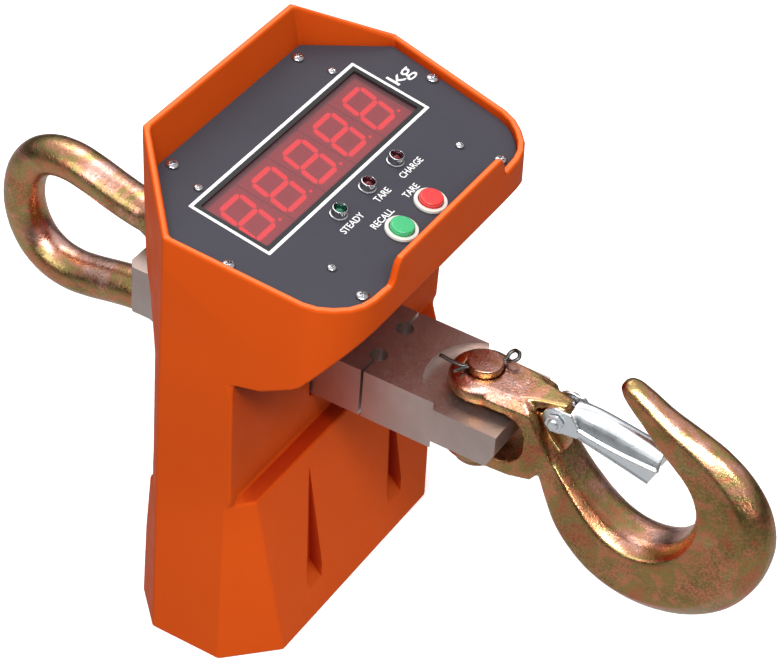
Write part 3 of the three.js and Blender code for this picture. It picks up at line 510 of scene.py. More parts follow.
def hull(name, pts, at=g):
    bm = bmesh.new()
    for p in pts:
        bm.verts.new(at(*p))
    r = bmesh.ops.convex_hull(bm, input=bm.verts)
    junk = {v for v in r["geom_interior"] + r["geom_unused"] if isinstance(v, bmesh.types.BMVert)}
    bmesh.ops.delete(bm, geom=list(junk), context="VERTS")
    bmesh.ops.dissolve_limit(bm, angle_limit=math.radians(0.5), verts=bm.verts, edges=bm.edges)
    bmesh.ops.recalc_face_normals(bm, faces=bm.faces)
    me = bpy.data.meshes.new(name)
    bm.to_mesh(me)
    bm.free()
    o = bpy.data.objects.new(name, me)
    SCENE.collection.objects.link(o)
    return o


def ring_pts(x, y, r, n, a0=0.0):
    return [(x + r * math.cos(a0 + 2 * math.pi * i / n), y + r * math.sin(a0 + 2 * math.pi * i / n)) for i in range(n)]


def lathe(name, profile, n=56, at=g, cx=0.0, cy=0.0, axis="z", closed=False, cz=0.0):
    """profile: (radius, height) from one end of the axis to the other, or a closed loop round a hole."""
    verts, rows = [], []
    for r, h in profile:
        if r < 1e-6:
            rows.append([len(verts)])
            verts.append((0, 0, h))
        else:
            rows.append(list(range(len(verts), len(verts) + n)))
            verts += [(r * math.cos(2 * math.pi * i / n), r * math.sin(2 * math.pi * i / n), h) for i in range(n)]
    faces = []
    pairs = list(zip(rows, rows[1:])) + ([(rows[-1], rows[0])] if closed else [])
    for a, b in pairs:
        for i in range(n):
            j = (i + 1) % n
            if len(a) == 1 and len(b) == 1:
                continue
            if len(a) == 1:
                faces.append([a[0], b[i], b[j]])
            elif len(b) == 1:
                faces.append([a[i], a[j], b[0]])
            else:
                faces.append([a[i], a[j], b[j], b[i]])
    if axis == "y":
        verts = [(cx + x, cy + h, cz + y) for x, y, h in verts]
    elif axis == "x":
        verts = [(cx + h, cy + x, cz + y) for x, y, h in verts]
    else:
        verts = [(cx + x, cy + y, cz + h) for x, y, h in verts]
    return raw(name, verts, faces, at)


def arc(cx, cy, r, a0, a1, n=5):
    """Points of a fillet, angles in degrees."""
    return [(cx + r * math.cos(math.radians(a0 + (a1 - a0) * i / n)), cy + r * math.sin(math.radians(a0 + (a1 - a0) * i / n))) for i in range(n + 1)]


def spline(points, per=8):
    """Catmull-Rom through points of any dimension."""
    p = [np.array(q, float) for q in points]
    p = [2 * p[0] - p[1]] + p + [2 * p[-1] - p[-2]]
    out = []
    for i in range(1, len(p) - 2):
        for k in range(per):
            t = k / per
            out.append(0.5 * ((2 * p[i]) + (p[i + 1] - p[i - 1]) * t + (2 * p[i - 1] - 5 * p[i] + 4 * p[i + 1] - p[i + 2]) * t * t
                              + (3 * p[i] - p[i - 1] - 3 * p[i + 1] + p[i + 2]) * t ** 3))
    out.append(p[-2])
    return out


def tube(name, pts, r, n=14, at=g, taper=None):
    """Round wire along points, with closed domed ends."""
    pts = [np.array(p, float) for p in pts]
    t = [pts[min(i + 1, len(pts) - 1)] - pts[max(i - 1, 0)] for i in range(len(pts))]
    t = [v / np.linalg.norm(v) for v in t]
    u = np.cross(t[0], (0.0, 0.0, 1.0))
    if np.linalg.norm(u) < 0.2:
        u = np.cross(t[0], (0.0, 1.0, 0.0))
    u /= np.linalg.norm(u)
    verts, rows = [], []

    def row(c, uu, ww, rad):
        rows.append(list(range(len(verts), len(verts) + n)))
        for i in range(n):
            a = 2 * math.pi * i / n
            verts.append(tuple(c + rad * (math.cos(a) * uu + math.sin(a) * ww)))

    frames = []
    for i, p in enumerate(pts):
        u = u - t[i] * np.dot(u, t[i])
        u /= np.linalg.norm(u)
        frames.append((p, u.copy(), np.cross(t[i], u)))
    R = [r if taper is None else r * taper(i / (len(pts) - 1)) for i in range(len(pts))]
    p, uu, ww = frames[0]
    for a in (70, 40):
        row(p - t[0] * R[0] * math.sin(math.radians(a)) * 0.6, uu, ww, R[0] * math.cos(math.radians(a)))
    for (p, uu, ww), q in zip(frames, R):
        row(p, uu, ww, q)
    p, uu, ww = frames[-1]
    for a in (40, 70):
        row(p + t[-1] * R[-1] * math.sin(math.radians(a)) * 0.6, uu, ww, R[-1] * math.cos(math.radians(a)))
    faces = [rows[0][::-1], rows[-1][:]]
    for a, b in zip(rows, rows[1:]):
        faces += [[a[i], a[(i + 1) % n], b[(i + 1) % n], b[i]] for i in range(n)]
    return raw(name, verts, faces, at)


def loft(name, rings, at=g, caps=True, loop=False, mats=()):
    n = len(rings[0])
    verts = [tuple(p) for r in rings for p in r]
    faces = []
    m = len(rings)
    for k in range(m if loop else m - 1):
        a, b = k * n, ((k + 1) % m) * n
        faces += [[a + i, a + (i + 1) % n, b + (i + 1) % n, b + i] for i in range(n)]
    if caps and not loop:
        faces += [list(range(n))[::-1], list(range((m - 1) * n, m * n))]
    return raw(name, verts, faces, at, mats)


def cad_copy(name, node, width, segments=2, angle=28, flat=0.8, clamp=True):
    me = NODES[node].data.copy()
    bm = bmesh.new()
    bm.from_mesh(me)
    bmesh.ops.remove_doubles(bm, verts=bm.verts, dist=2e-6)
    bmesh.ops.dissolve_limit(bm, angle_limit=math.radians(flat), verts=bm.verts, edges=bm.edges)
    bmesh.ops.recalc_face_normals(bm, faces=bm.faces)
    bm.to_mesh(me)
    bm.free()
    o = bpy.data.objects.new(name, me)
    SCENE.collection.objects.link(o)
    if width:
        bevel(o, width, segments, angle, clamp)
    return smooth(o)


# ------------------------------------------------------------------ camera, floor, light
R0 = Vector((0.8512979083, 0.5209874596, 0.0621605851))
R1 = Vector((0.3780737900, -0.5269586686, -0.7611667169))
R2 = Vector((-0.3638022550, 0.6714809220, -0.6455705157))
EYE = Vector((0.6537791684, -1.0974917277, 1.2504748887))
cam_data = bpy.data.cameras.new("camera")
cam_data.lens, cam_data.sensor_width, cam_data.sensor_fit = 133.005, 36.0, "HORIZONTAL"
cam_data.clip_start, cam_data.clip_end = 0.05, 30.0
cam = bpy.data.objects.new("camera", cam_data)
SCENE.collection.objects.link(cam)
X, Y, Z = R0, -R1, -R2
cam.matrix_world = Matrix(((X.x, Y.x, Z.x, EYE.x), (X.y, Y.y, Z.y, EYE.y), (X.z, Y.z, Z.z, EYE.z), (0, 0, 0, 1)))
SCENE.camera = cam

floor_mat = Mat("floor_white").set(color=(0.93, 0.93, 0.93), rough=0.7, spec=0.2, emit=(1.0, 1.0, 1.0), emit_power=0.42)
floor_mat.to(floor_mat.mix(floor_mat.noise(3, 2), (0.925, 0.925, 0.925), (0.935, 0.935, 0.935)), "Base Color")
me = bpy.data.meshes.new("floor")
me.from_pydata([(-9, -9, -0.0005), (9, -9, -0.0005), (9, 9, -0.0005), (-9, 9, -0.0005)], [], [(0, 1, 2, 3)])
me.materials.append(floor_mat.m)
floor = bpy.data.objects.new("floor", me)
SCENE.collection.objects.link(floor)
floor.visible_diffuse = False
floor.visible_glossy = False

world = bpy.data.worlds.new("studio")
SCENE.world = world
world.use_nodes = True
wt = world.node_tree
tc = wt.nodes.new("ShaderNodeTexCoord")
sep = wt.nodes.new("ShaderNodeSeparateXYZ")
rampn = wt.nodes.new("ShaderNodeValToRGB")
stops = [(0.0, 0.58), (0.27, 0.50), (0.38, 0.30), (0.45, 0.05), (0.56, 0.04), (0.63, 0.22), (0.75, 0.55), (1.0, 0.80)]
while len(rampn.color_ramp.elements) < len(stops):
    rampn.color_ramp.elements.new(0.5)
for el, (at, v) in zip(rampn.color_ramp.elements, stops):
    el.position, el.color = at, (v, v, v * 1.02, 1)
half = wt.nodes.new("ShaderNodeMath")
half.operation = "MULTIPLY_ADD"
half.inputs[1].default_value, half.inputs[2].default_value = 0.5, 0.5
wt.links.new(tc.outputs["Generated"], sep.inputs[0])
wt.links.new(sep.outputs["Z"], half.inputs[0])
wt.links.new(half.outputs[0], rampn.inputs["Fac"])
wt.links.new(rampn.outputs["Color"], wt.nodes["Background"].inputs["Color"])
wt.nodes["Background"].inputs["Strength"].default_value = 1.0


def area(name, where, target, size, power, size_y=None):
    d = bpy.data.lights.new(name, "AREA")
    d.shape, d.size, d.size_y = "RECTANGLE", size, size_y or size
    d.energy = power
    o = bpy.data.objects.new(name, d)
    o.location = where
    o.rotation_euler = (Vector(target) - Vector(where)).to_track_quat("-Z", "Y").to_euler()
    SCENE.collection.objects.link(o)
    return o


area("key", (0.86, -1.28, 2.13), (0.0, 0, 0.17), 1.9, 58, 0.42)
area("back", (-0.9, 0.7, 2.2), (0.0, 0, 0.2), 1.4, 16, 1.4)
area("side", (-0.7, -2.0, 1.1), (0.0, 0, 0.15), 1.0, 10, 1.2)
low = bpy.data.lights.new("low", "SPOT")
low.energy, low.spot_size, low.spot_blend, low.shadow_soft_size = 12.5, math.radians(13.5), 0.5, 0.03
lamp = bpy.data.objects.new("low", low)
lamp.location = (0.95, -0.50, 0.42)
lamp.rotation_euler = (Vector((0.035, 0.0, 0.020)) - Vector((0.95, -0.50, 0.42))).to_track_quat("-Z", "Y").to_euler()
lamp.scale = (1.75, 1, 1)
SCENE.collection.objects.link(lamp)
SCENE.view_settings.view_transform = "Standard"
SCENE.view_settings.look = "None"

# ------------------------------------------------------------------ housing
def side_at(z):
    return 105.5 + 7.4 / 292 * (z + 164)


def corner_at(z):
    return -74.4 - 8.1 * (128 - z) / 292


def taper_at(z):
    return 0.1163 * max(0.0, z - 30) / 85


BACK = [(-164, -104.2), (-107, -99.8), (-61, -93.6), (-60, -88.6), (-32, -86.6), (16, -86.5), (38, -86.2), (46, -89), (53, -92),
        (67, -97.5), (74, -104), (84, -108), (105, -111.2), (128, -115), (158, -118.2)]


def back_at(z):
    return float(np.interp(z, [b[0] for b in BACK], [b[1] for b in BACK]))


NOSE = [(3, 103.6), (11, 100.6), (18, 95.2), (24, 88.4), (27.8, 81), (29.6, 73), (30.2, 62)]
GUARD = [(59.4, 110.17), (57.8, 110.9), (56.4, 113.6), (55.2, 117), (54.1, 120.2), (52.5, 122.7), (50, 124)]
UNDER = [(-31, 48.4), (-30, 48.4), (-13, 52.3), (6.3, 63.2), (30.2, 91)]


def under_at(x):
    return float(np.interp(x, [u[0] for u in UNDER], [u[1] for u in UNDER]))


def point_ab(i, z, t):
    w, xc, xb = side_at(z), corner_at(z), back_at(z)
    if i == 0:
        return (xb + t, w - (xc - xb) - 0.414 * t, z)
    return (xc + 0.414 * t, w - t, z)


def nose_at(i, z, t):
    """Point i of the rounded hook-side end at height z, t inside the outer face."""
    if i >= 7:
        return (30.2 - t, GUARD[i - 7][0], z)
    w = side_at(z)
    base = w - taper_at(z) * (3 - corner_at(z))
    x, y = NOSE[i]
    a, b = NOSE[max(0, i - 1)], NOSE[min(6, i + 1)]
    nx, ny = (a[1] - b[1], b[0] - a[0]) if i < 6 else (1, 0)
    if i == 0:
        nx, ny = 0.16, 1
    l = math.hypot(nx, ny)
    return (x - t * nx / l, y / 103.6 * base - t * ny / l, z)


def full(half):
    return half + [(x, -y, z) for x, y, z in half[::-1]]


def top_z(i, x):
    if i == 0:
        return 154.1
    if i >= 9:
        return GUARD[i - 9][1]
    return 115.3 - TILT * x


def column_ring(z, t):
    """Base and waist: the hook-side points lie on the flat wall of the waist or of the base."""
    half = [point_ab(0, z, t), point_ab(1, z, t)]
    ys = [100.6, 95.2, 88.4, 81, 73, 62] + [q[0] for q in GUARD]
    if z > -38:
        w = side_at(z) - t
        half.append((-31 - t, w, z))
        half += [(-31 - t, min(y, w - 2) - (t if y > 90 else 0), z) for y in ys]
        return full(half)
    k = (z + 164) / 122.2
    if t:
        px, py = -39.5 + 2.5 * k, 100.5 + 2.7 * k
        qx, qy = -15.8 - 11.6 * k, 76.1 + 16.1 * k
    else:
        px, py = -37.4 + 3.3 * k, 105.5 + 3.15 * k
        qx, qy = -10.8 - 12 * k, 78.2 + 16.9 * k
    if t > 6:
        px, qx, py, qy = px - t + 5, qx - t + 5, py - 1, qy - 4
    half.append((px, py, z))
    for f in (1 / 3, 2 / 3, 1):
        half.append((px + (qx - px) * f, py + (qy - py) * f, z))
    low = [70, 66, 62, 59.4, 58, 56.6, 55, 53.4, 51.6, 49]
    half += [(qx, y, z) for y in low]
    return full(half)


def under_ring(xu, zb, t, rise):
    half = [point_ab(0, zb, t), point_ab(1, zb, t)]
    for i in range(14):
        z = 60.0
        for _ in range(4):
            p = nose_at(i, z, t)
            z = under_at(p[0] + (0 if t == 0 else 0)) + rise
        if p[0] <= xu + 1e-6:
            half.append((p[0], p[1], z))
            continue
        z = under_at(xu) + rise
        w = side_at(z) - t
        lim = w - taper_at(z) * (xu - corner_at(z))
        y = p[1]
        if i == 0 or (xu > 3 and nose_at(i - 1, z, t)[0] <= xu):
            y = lim if xu <= 3 else float(np.interp(xu, [nose_at(j, z, t)[0] for j in range(7)], [nose_at(j, z, t)[1] for j in range(7)]))
        half.append((xu, y, z))
    return full(half)


def level_ring(zfun, t, zb=None, za=None):
    half = []
    for i in (0, 1):
        z = 130.0
        for _ in range(5):
            p = point_ab(i, z, t)
            z = zfun(i, p[0]) if (zb is None) else (za if i == 0 and za is not None else zb)
        half.append(point_ab(i, z, t))
    for i in range(14):
        z = 110.0
        for _ in range(5):
            p = nose_at(i, z, t)
            z = zfun(i + 2, p[0])
        half.append(nose_at(i, z, t))
    return full(half)


RIM, WALL, POCKET = 4.2, 5.0, 109.8 - 2.4 - 0.9
rings = [column_ring(z, 0) for z in (-164, -107, -61, -60, -41.8)]
rings.append(column_ring(-36, 0))
rings += [column_ring(z, 0) for z in (-32, 16, 38)]
rings.append(under_ring(-31, 46, 0, 0))
for xu, zb in ((-13, 53), (3, 60), (6.3, 67), (11, 70), (18, 74), (24, 84), (27.8, 93), (29.6, 105), (30.2, 112)):
    rings.append(under_ring(xu, zb, 0, 0))
rings.append(level_ring(top_z, 0, None))
rings.append(level_ring(lambda i, x: top_z(i, x), RIM))
pocket = lambda i, x: POCKET - TILT * x
rings.append(level_ring(pocket, RIM))
rings.append(level_ring(pocket, 12.5))
rings.append(level_ring(lambda i, x: POCKET - 6 - TILT * x, 12.5))
rings.append(level_ring(lambda i, x: POCKET - 9 - TILT * x, WALL))
for xu, zb in ((25.2, 84), (18, 74), (11, 67), (3, 60), (-13, 53)):
    rings.append(under_ring(xu, zb, WALL, 6.5))
rings.append(under_ring(-36, 46, WALL, 6.5))
rings += [column_ring(z, WALL) for z in (38, 16, -32, -37)]
rings += [column_ring(z, 13) for z in (-47, -60, -61, -107, -150)]
rings += [column_ring(z, WALL) for z in (-158, -164)]
shell = loft("housing", rings, loop=True)
boolean(shell, [boxed("c", -130, 10, -31.2, 31.2, -15.2, 19.2)])
face_x = lambda z: -22.8 + 12 * (-41.8 - z) / 122.2
bm = bmesh.new()
bm.from_mesh(shell.data)
bmesh.ops.remove_doubles(bm, verts=bm.verts, dist=2e-5)

bm.to_mesh(shell.data)
bm.free()
bevel(shell, 1.5, 3, 24, False)
for s in (1, -1):
    boolean(shell, [hull("c", [(face_x(-47) + 0.6, s * 43.5, -47), (face_x(-132) + 1, s * 34.8, -132), (face_x(-132) + 1, s * 52.2, -132),
                               (face_x(-143) + 1, s * 36, -142), (face_x(-143) + 1, s * 51, -142),
                               (face_x(-130) - 6.5, s * 39, -128), (face_x(-130) - 6.5, s * 48, -128)])])
smooth(shell, 40)
paint(shell, "orange_coat")
done(shell, "housing", "scale_body", "orange_coat", "housing_shell")

# ------------------------------------------------------------------ panel and what it carries
nodes_mat = {"front_panel": "panel_film", "panel_gasket": "gasket_rubber", "display_board": "board_green", "main_board": "board_green",
             "battery_pack": "battery_wrap", "battery_strap": "plate_steel", "cross_plate": "plate_steel", "bar_bolt_1": "bolt_steel",
             "bar_bolt_2": "bolt_steel", "cross_plate_screw_1": "bolt_steel", "cross_plate_screw_2": "bolt_steel"}
for n, m in nodes_mat.items():
    o = NODES[n]
    for s in range(max(1, len(o.material_slots))):
        if not o.material_slots:
            o.data.materials.append(M[m])
        else:
            o.material_slots[s].material = M[m]


def rect(x0, x1, y0, y1, r, n=6):
    pts = []
    for cx, cy, a in ((x1 - r, y1 - r, 0), (x0 + r, y1 - r, 90), (x0 + r, y0 + r, 180), (x1 - r, y0 + r, 270)):
        pts += arc(cx, cy, r, a, a + 90, n)
    return pts


def frame_ring(name, outer, inner, z0, z1):
    n = len(outer)
    verts = [(x, y, z0) for x, y in outer] + [(x, y, z1) for x, y in outer] + [(x, y, z1) for x, y in inner] + [(x, y, z0) for x, y in inner]
    faces = []
    for k in range(4):
        a, b = k * n, ((k + 1) % 4) * n
        faces += [[a + i, a + (i + 1) % n, b + (i + 1) % n, b + i] for i in range(n)]
    return raw(name, verts, faces, pg)


WX0, WX1, WYY = -80.6, -32.3, 78.2
W0, W1, WY = PX(WX0 + 2.9), PX(WX1 - 2.9), WYY - 2.9
line = frame_ring("l", rect(PX(WX0) - 1.1, PX(WX1) + 1.1, -WYY - 1.1, WYY + 1.1, 0.5), rect(PX(WX0) + 0.75, PX(WX1) - 0.75, -WYY + 0.75, WYY - 0.75, 0.3), 0.02, 0.14)
paint(line, "legend_white")
done(line, "display_border", "scale_body", "panel_film")
band = frame_ring("k", rect(PX(WX0) + 0.8, PX(WX1) - 0.8, -WYY + 0.8, WYY - 0.8, 0.3), rect(W0 + 0.05, W1 - 0.05, -WY + 0.05, WY - 0.05, 1.7), 0.02, 0.10)
paint(band, "mask_black")
done(band, "display_mask", "scale_body", "panel_film")
wall = frame_ring("k", rect(W0 + 0.02, W1 - 0.02, -WY + 0.02, WY - 0.02, 1.7), rect(W0 + 0.55, W1 - 0.55, -WY + 0.55, WY - 0.55, 1.3), -1.9, 0.08)
paint(wall, "mask_black")
done(wall, "display_wall", "scale_body", "panel_film")
win = prism("w", rect(W0 + 0.3, W1 - 0.3, -WY + 0.3, WY - 0.3, 1.7), -2.75, -1.95, "xy", pg)
bevel(win, 0.15, 2, 40)
paint(smooth(win), "window_red")
done(win, "window_plate", "scale_body", "window_red", "display_window")
mask_ring = frame_ring("m", rect(W0 + 0.25, W1 - 0.25, -WY + 0.25, WY - 0.25, 1.7), rect(W0 + 1.4, W1 - 1.4, -WY + 1.4, WY - 1.4, 1.2), -3.4, -2.8)
paint(mask_ring, "gasket_rubber")
done(mask_ring, "window_seal", "scale_body", "gasket_rubber")

DIGIT_MID = (W0 + W1) / 2


def digit(i, yc):
    H, B, T, SL = 14.5, 9.2, 1.45, 0.17
    body = prism("d", [(DIGIT_MID - 19.2, yc - 14.4), (DIGIT_MID + 19.2, yc - 14.4), (DIGIT_MID + 19.2, yc + 14.4), (DIGIT_MID - 19.2, yc + 14.4)], -12.1, -3.6, "xy", pg)
    bevel(body, 0.5, 2, 40)
    paint(body, "digit_body")
    put = lambda u, v: (DIGIT_MID - v, yc - 1.6 + u + SL * v)
    segs = []
    across = lambda v: [(-B + 2.2, v + T), (B - 2.2, v + T), (B - 0.8, v), (B - 2.2, v - T), (-B + 2.2, v - T), (-B + 0.8, v)]
    up = lambda u, v0, v1: [(u - T, v0 + 2.0), (u, v0 + 0.7), (u + T, v0 + 2.0), (u + T, v1 - 2.0), (u, v1 - 0.7), (u - T, v1 - 2.0)]
    polys = [across(v) for v in (-H + T, 0, H - T)]
    for u in (-B + 0.2, B - 0.2):
        polys += [up(u, -H + T, 0), up(u, 0, H - T)]
    for p in polys:
        segs.append(prism("s", [put(u, v) for u, v in p], -3.9, -2.95, "xy", pg))
    px, py = put(B + 3.7, -H + T)
    segs.append(prism("s", ring_pts(px, py, 0.8, 24), -3.9, -2.95, "xy", pg))
    lit_part = join(segs, "segments")
    bevel(lit_part, 0.22, 2, 40)
    paint(lit_part, "led_red")
    smooth(body)
    smooth(lit_part)
    done(lit_part, f"digit_segments_{i}", "scale_body", "led_red")
    done(body, f"digit_block_{i}", "scale_body", "led_red", f"led_digit_{i}")


for i, k in enumerate((-2, -1, 0, 1, 2)):
    digit(i + 1, k * 29.6)


def legend(name, words, x, y, wide, high):
    c = bpy.data.curves.new(name, "FONT")
    c.body, c.size, c.extrude, c.resolution_u, c.offset = words, 1.0, 0.02, 6, (0.002 if len(words) == 2 else 0.008)
    c.align_x, c.align_y = "LEFT", "BOTTOM_BASELINE"
    t = bpy.data.objects.new(name, c)
    SCENE.collection.objects.link(t)
    me = bpy.data.meshes.new_from_object(t.evaluated_get(bpy.context.evaluated_depsgraph_get()))
    bpy.data.objects.remove(t)
    co = np.array([v.co for v in me.vertices])
    lo, hi = co.min(0), co.max(0)
    sx, sy = wide / (hi[0] - lo[0]), high / (hi[1] - lo[1])
    for v in me.vertices:
        a, b = (v.co.x - (lo[0] + hi[0]) / 2) * sx, (v.co.y - (lo[1] + hi[1]) / 2) * sy
        v.co = pg(PX(x) - b, y + a, 0.02 if v.co.z < 0 else 0.13)
    bm = bmesh.new()
    bm.from_mesh(me)
    bmesh.ops.remove_doubles(bm, verts=bm.verts, dist=1e-7)
    bmesh.ops.recalc_face_normals(bm, faces=bm.faces)
    bm.to_mesh(me)
    bm.free()
    o = bpy.data.objects.new(name, me)
    SCENE.collection.objects.link(o)
    paint(o, "legend_white")
    return done(o, name, "scale_body", "panel_film")


legend("legend_kg", "kg", -55.8, 90.5, 17.0, 11.6)
legend("legend_steady", "STEADY", -13.3, -28.6, 19.4, 4.0)
legend("legend_tare_lamp", "TARE", -13.3, 1.1, 13.0, 4.0)
legend("legend_charge", "CHARGE", -13.3, 30.4, 20.4, 4.0)
legend("legend_recall", "RECALL", -3.6, -14.3, 19.0, 4.0)
legend("legend_tare_button", "TARE", -3.9, 15.0, 13.0, 4.0)

LED_X, LED_Y = PX(-22), (-28.3, 0.0, 28.3)
for n, y in zip(("steady", "tare", "charge"), LED_Y):
    p = [(2.95, -6), (3.1, -6), (3.1, 0.3)] + [(4.9, 0.3), (5.1, 0.45), (5.1, 0.75), (4.9, 0.9), (4.45, 1.0), (4.3, 1.3)] \
        + [(4.25, 4.4)] + arc(3.95, 4.8, 0.3, 0, 90, 4) + [(3.75, 5.15), (3.6, 4.95), (3.5, 4.4), (3.4, 1.6), (2.95, 1.0)]
    b = lathe("b", p, 56, pg, LED_X, y, closed=True)
    paint(smooth(b, 35), "chrome_bezel")
    done(b, "bezel_" + n, "scale_body", "chrome_bezel", "led_bezel_" + n)
    q = [(0, -8), (2.6, -8), (2.75, -7.6), (2.75, 0.9), (2.55, 1.3)] + [(2.5 * math.cos(a), 1.5 + 2.2 * math.sin(a)) for a in np.linspace(0.15, 1.45, 9)] + [(0, 3.7)]
    l = lathe("l", q, 40, pg, LED_X, y)
    paint(smooth(l, 45), "lens_green" if n == "steady" else "lens_red")
    done(l, "lens_" + n, "scale_body", "lens_green" if n == "steady" else "lens_red", "led_lens_" + n)

BUT_X, BUT_Y = PX(8.3), (-14.7, 14.7)
for n, y, m in (("recall", BUT_Y[0], "button_green"), ("tare", BUT_Y[1], "button_red")):
    p = [(7.0, -9), (7.9, -9), (7.9, 0.3), (9.0, 0.3), (9.2, 0.5), (9.2, 1.0)] + arc(8.75, 1.75, 0.42, 0, 90, 4) + [(8.0, 2.25)] + arc(7.35, 1.85, 0.32, 90, 180, 3) + [(7.0, 1.2)]
    r = lathe("r", p, 72, pg, BUT_X, y, closed=True)
    paint(smooth(r, 38), "ring_cream")
    done(r, "ring_" + n, "scale_body", "ring_cream", "button_ring_" + n)
    q = [(0, -7.5), (6.0, -7.5), (6.65, -6.8), (6.65, 3.6)] + arc(5.55, 3.75, 1.1, 0, 90, 7)[1:] + [(4.6, 4.88), (2.4, 4.95), (0, 4.97)]
    c = lathe("c", q, 72, pg, BUT_X, y)
    paint(smooth(c, 40), m)
    done(c, "cap_" + n, n + "_button", m, "button_cap_" + n)


def pan_screw(r, h, long, core):
    """Pan head with a cross recess, standing at the origin of the panel coordinates."""
    ident = lambda x, y, z: Vector((x, y, z))
    prof = [(0, -long), (core * 0.65, -long + 0.5), (core, -long + 1.6), (core, 0.3), (r * 0.94, 0.3), (r, 0.42), (r, 0.3 + h * 0.34)]
    prof += [(r * math.cos(a), 0.3 + h * 0.34 + h * 0.66 * math.sin(a)) for a in np.linspace(0.12, 1.45, 9)] + [(0, 0.3 + h)]
    s = lathe("s", prof, 40, ident)
    w, d, q = r * 0.15, h * 0.85, r * 0.56
    for turn in (0, 1):
        pts = []
        for z, k in ((h + 0.6, 1.12), (h + 0.3 - d, 0.55)):
            for a, b in ((q * k, w), (q * k, -w), (-q * k, w), (-q * k, -w)):
                pts.append((a, b, z) if not turn else (b, a, z))
        boolean(s, [hull("c", pts, ident)])
    return smooth(s, 34)


def placed(src, name, x, y, turn):
    me = src.data.copy()
    c, s = math.cos(turn), math.sin(turn)
    for v in me.vertices:
        a, b, z = v.co
        v.co = pg(x + a * c - b * s, y + a * s + b * c, z)
    o = bpy.data.objects.new(name, me)
    SCENE.collection.objects.link(o)
    smooth(o, 34)
    return paint(o, "stainless")


big, small = pan_screw(3.5, 2.1, 9.0, 1.38), pan_screw(2.6, 1.6, 12.0, 1.035)
PANEL_SCREWS = [(-105, 60), (-105, -60), (-42.4, 100.6), (-42.4, -100.6), (19.3, 70.5), (19.3, -70.5)]
BOARD_SCREWS = [(-85.5, 64.5), (-85.5, -64.5), (-3, 64.5), (-3, -64.5)]
for i, (x, y) in enumerate(PANEL_SCREWS):
    done(placed(big, "s", PX(x), y, 0.4 + i * 0.7), f"screw_panel_{i + 1}", "scale_body", "stainless", f"panel_screw_{i + 1}")
for i, (x, y) in enumerate(BOARD_SCREWS):
    done(placed(small, "s", PX(x), y, 0.2 + i * 0.9), f"screw_board_{i + 1}", "scale_body", "stainless", f"board_screw_{i + 1}")
drop(big, small)

# ------------------------------------------------------------------ cover under the base
cover_out = [(-98.6, 81.0), (-79.9, 99.8), (-39.9, 99.8), (-17, 75.7)]
cover = prism("c", cover_out + [(x, -y) for x, y in cover_out[::-1]], -164, -160.8)
COVER_SCREWS = [(-89.5, 84.5), (-89.5, -84.5), (-24, 78.5), (-24, -78.5)]
for x, y in COVER_SCREWS:
    boolean(cover, [lathe("k", [(0, -166), (4.6, -166), (4.3, -164.2), (2.2, -162), (2.2, -158), (0, -158)], 40, g, x, y)])
for k in range(7):
    x = -84 + k * 9.0
    boolean(cover, [prism("k", rect(x - 1.1, x + 1.1, -58, 58, 1.05, 5), -166, -163.1)])
bevel(cover, 0.5, 2, 35)
paint(smooth(cover), "cover_coat")
done(cover, "base_cover", "scale_body", "cover_coat", "rear_cover")
for i, (x, y) in enumerate(COVER_SCREWS):
    s = lathe("s", [(0, 0.55), (3.2, 0.55), (3.5, 0.75), (1.6, 2.5), (1.55, 12.6), (0.9, 13.2), (0, 13.2)], 40, g, x, y, cz=-164)
    for turn in (0, 1):
        a, b = (1.9, 0.34) if not turn else (0.34, 1.9)
        boolean(s, [boxed("k", x - a, x + a, y - b, y + b, -164, -162.2)])
    paint(smooth(s, 34), "stainless")
    done(s, f"screw_cover_{i + 1}", "scale_body", "stainless", f"cover_screw_{i + 1}")

# ------------------------------------------------------------------ load bar
bar = prism("bar", [(-155, -25), (-151, -30), (83.4, -30), (83.4, 30), (-151, 30), (-155, 25)], -14, 18)
cut = []
for z0, z1 in ((12.9, 30), (-30, -9.5)):
    cut.append(prism("c", ring_pts(58, 0, 32.5, 96), z0, z1))
    cut.append(boxed("c", 44.5, 110, -40, 40, z0, z1))
cut.append(prism("c", [(78.6, -9.6), (90, -9.6), (90, 8.5), (84.5, 2.2)], -40, 40, "xz"))
cut.append(prism("c", ring_pts(58, 0, 10.3, 72), -40, 40))
cut.append(prism("c", ring_pts(-128, 0, 10.8, 72), -40, 40))
for x in (0, -70):
    for s in (1, -1):
        cut.append(prism("c", ring_pts(x, s * 13.6, 5.3, 56), -40, 40))
        cut.append(boxed("c", x - 0.85, x + 0.85, 14 if s > 0 else -40, 40 if s > 0 else -14, -40, 40))
boolean(bar, cut)
bevel(bar, 0.55, 2, 32)
paint(smooth(bar, 34), "bar_steel")
done(bar, "load_bar", "scale_body", "bar_steel", "load_cell")
cable = tube("cable", spline([(-50, 33.2, 2), (-50, 40, 4), (-56, 48, 20), (-60, 52, 48), (-58, 50, 68), (-50, 46, 78), (-47, 44, 84)], 10), 2.2, 16)
paint(smooth(cable, 50), "cable_jacket")
done(cable, "sensor_cable", "scale_body", "cable_jacket", "load_cell_cable")


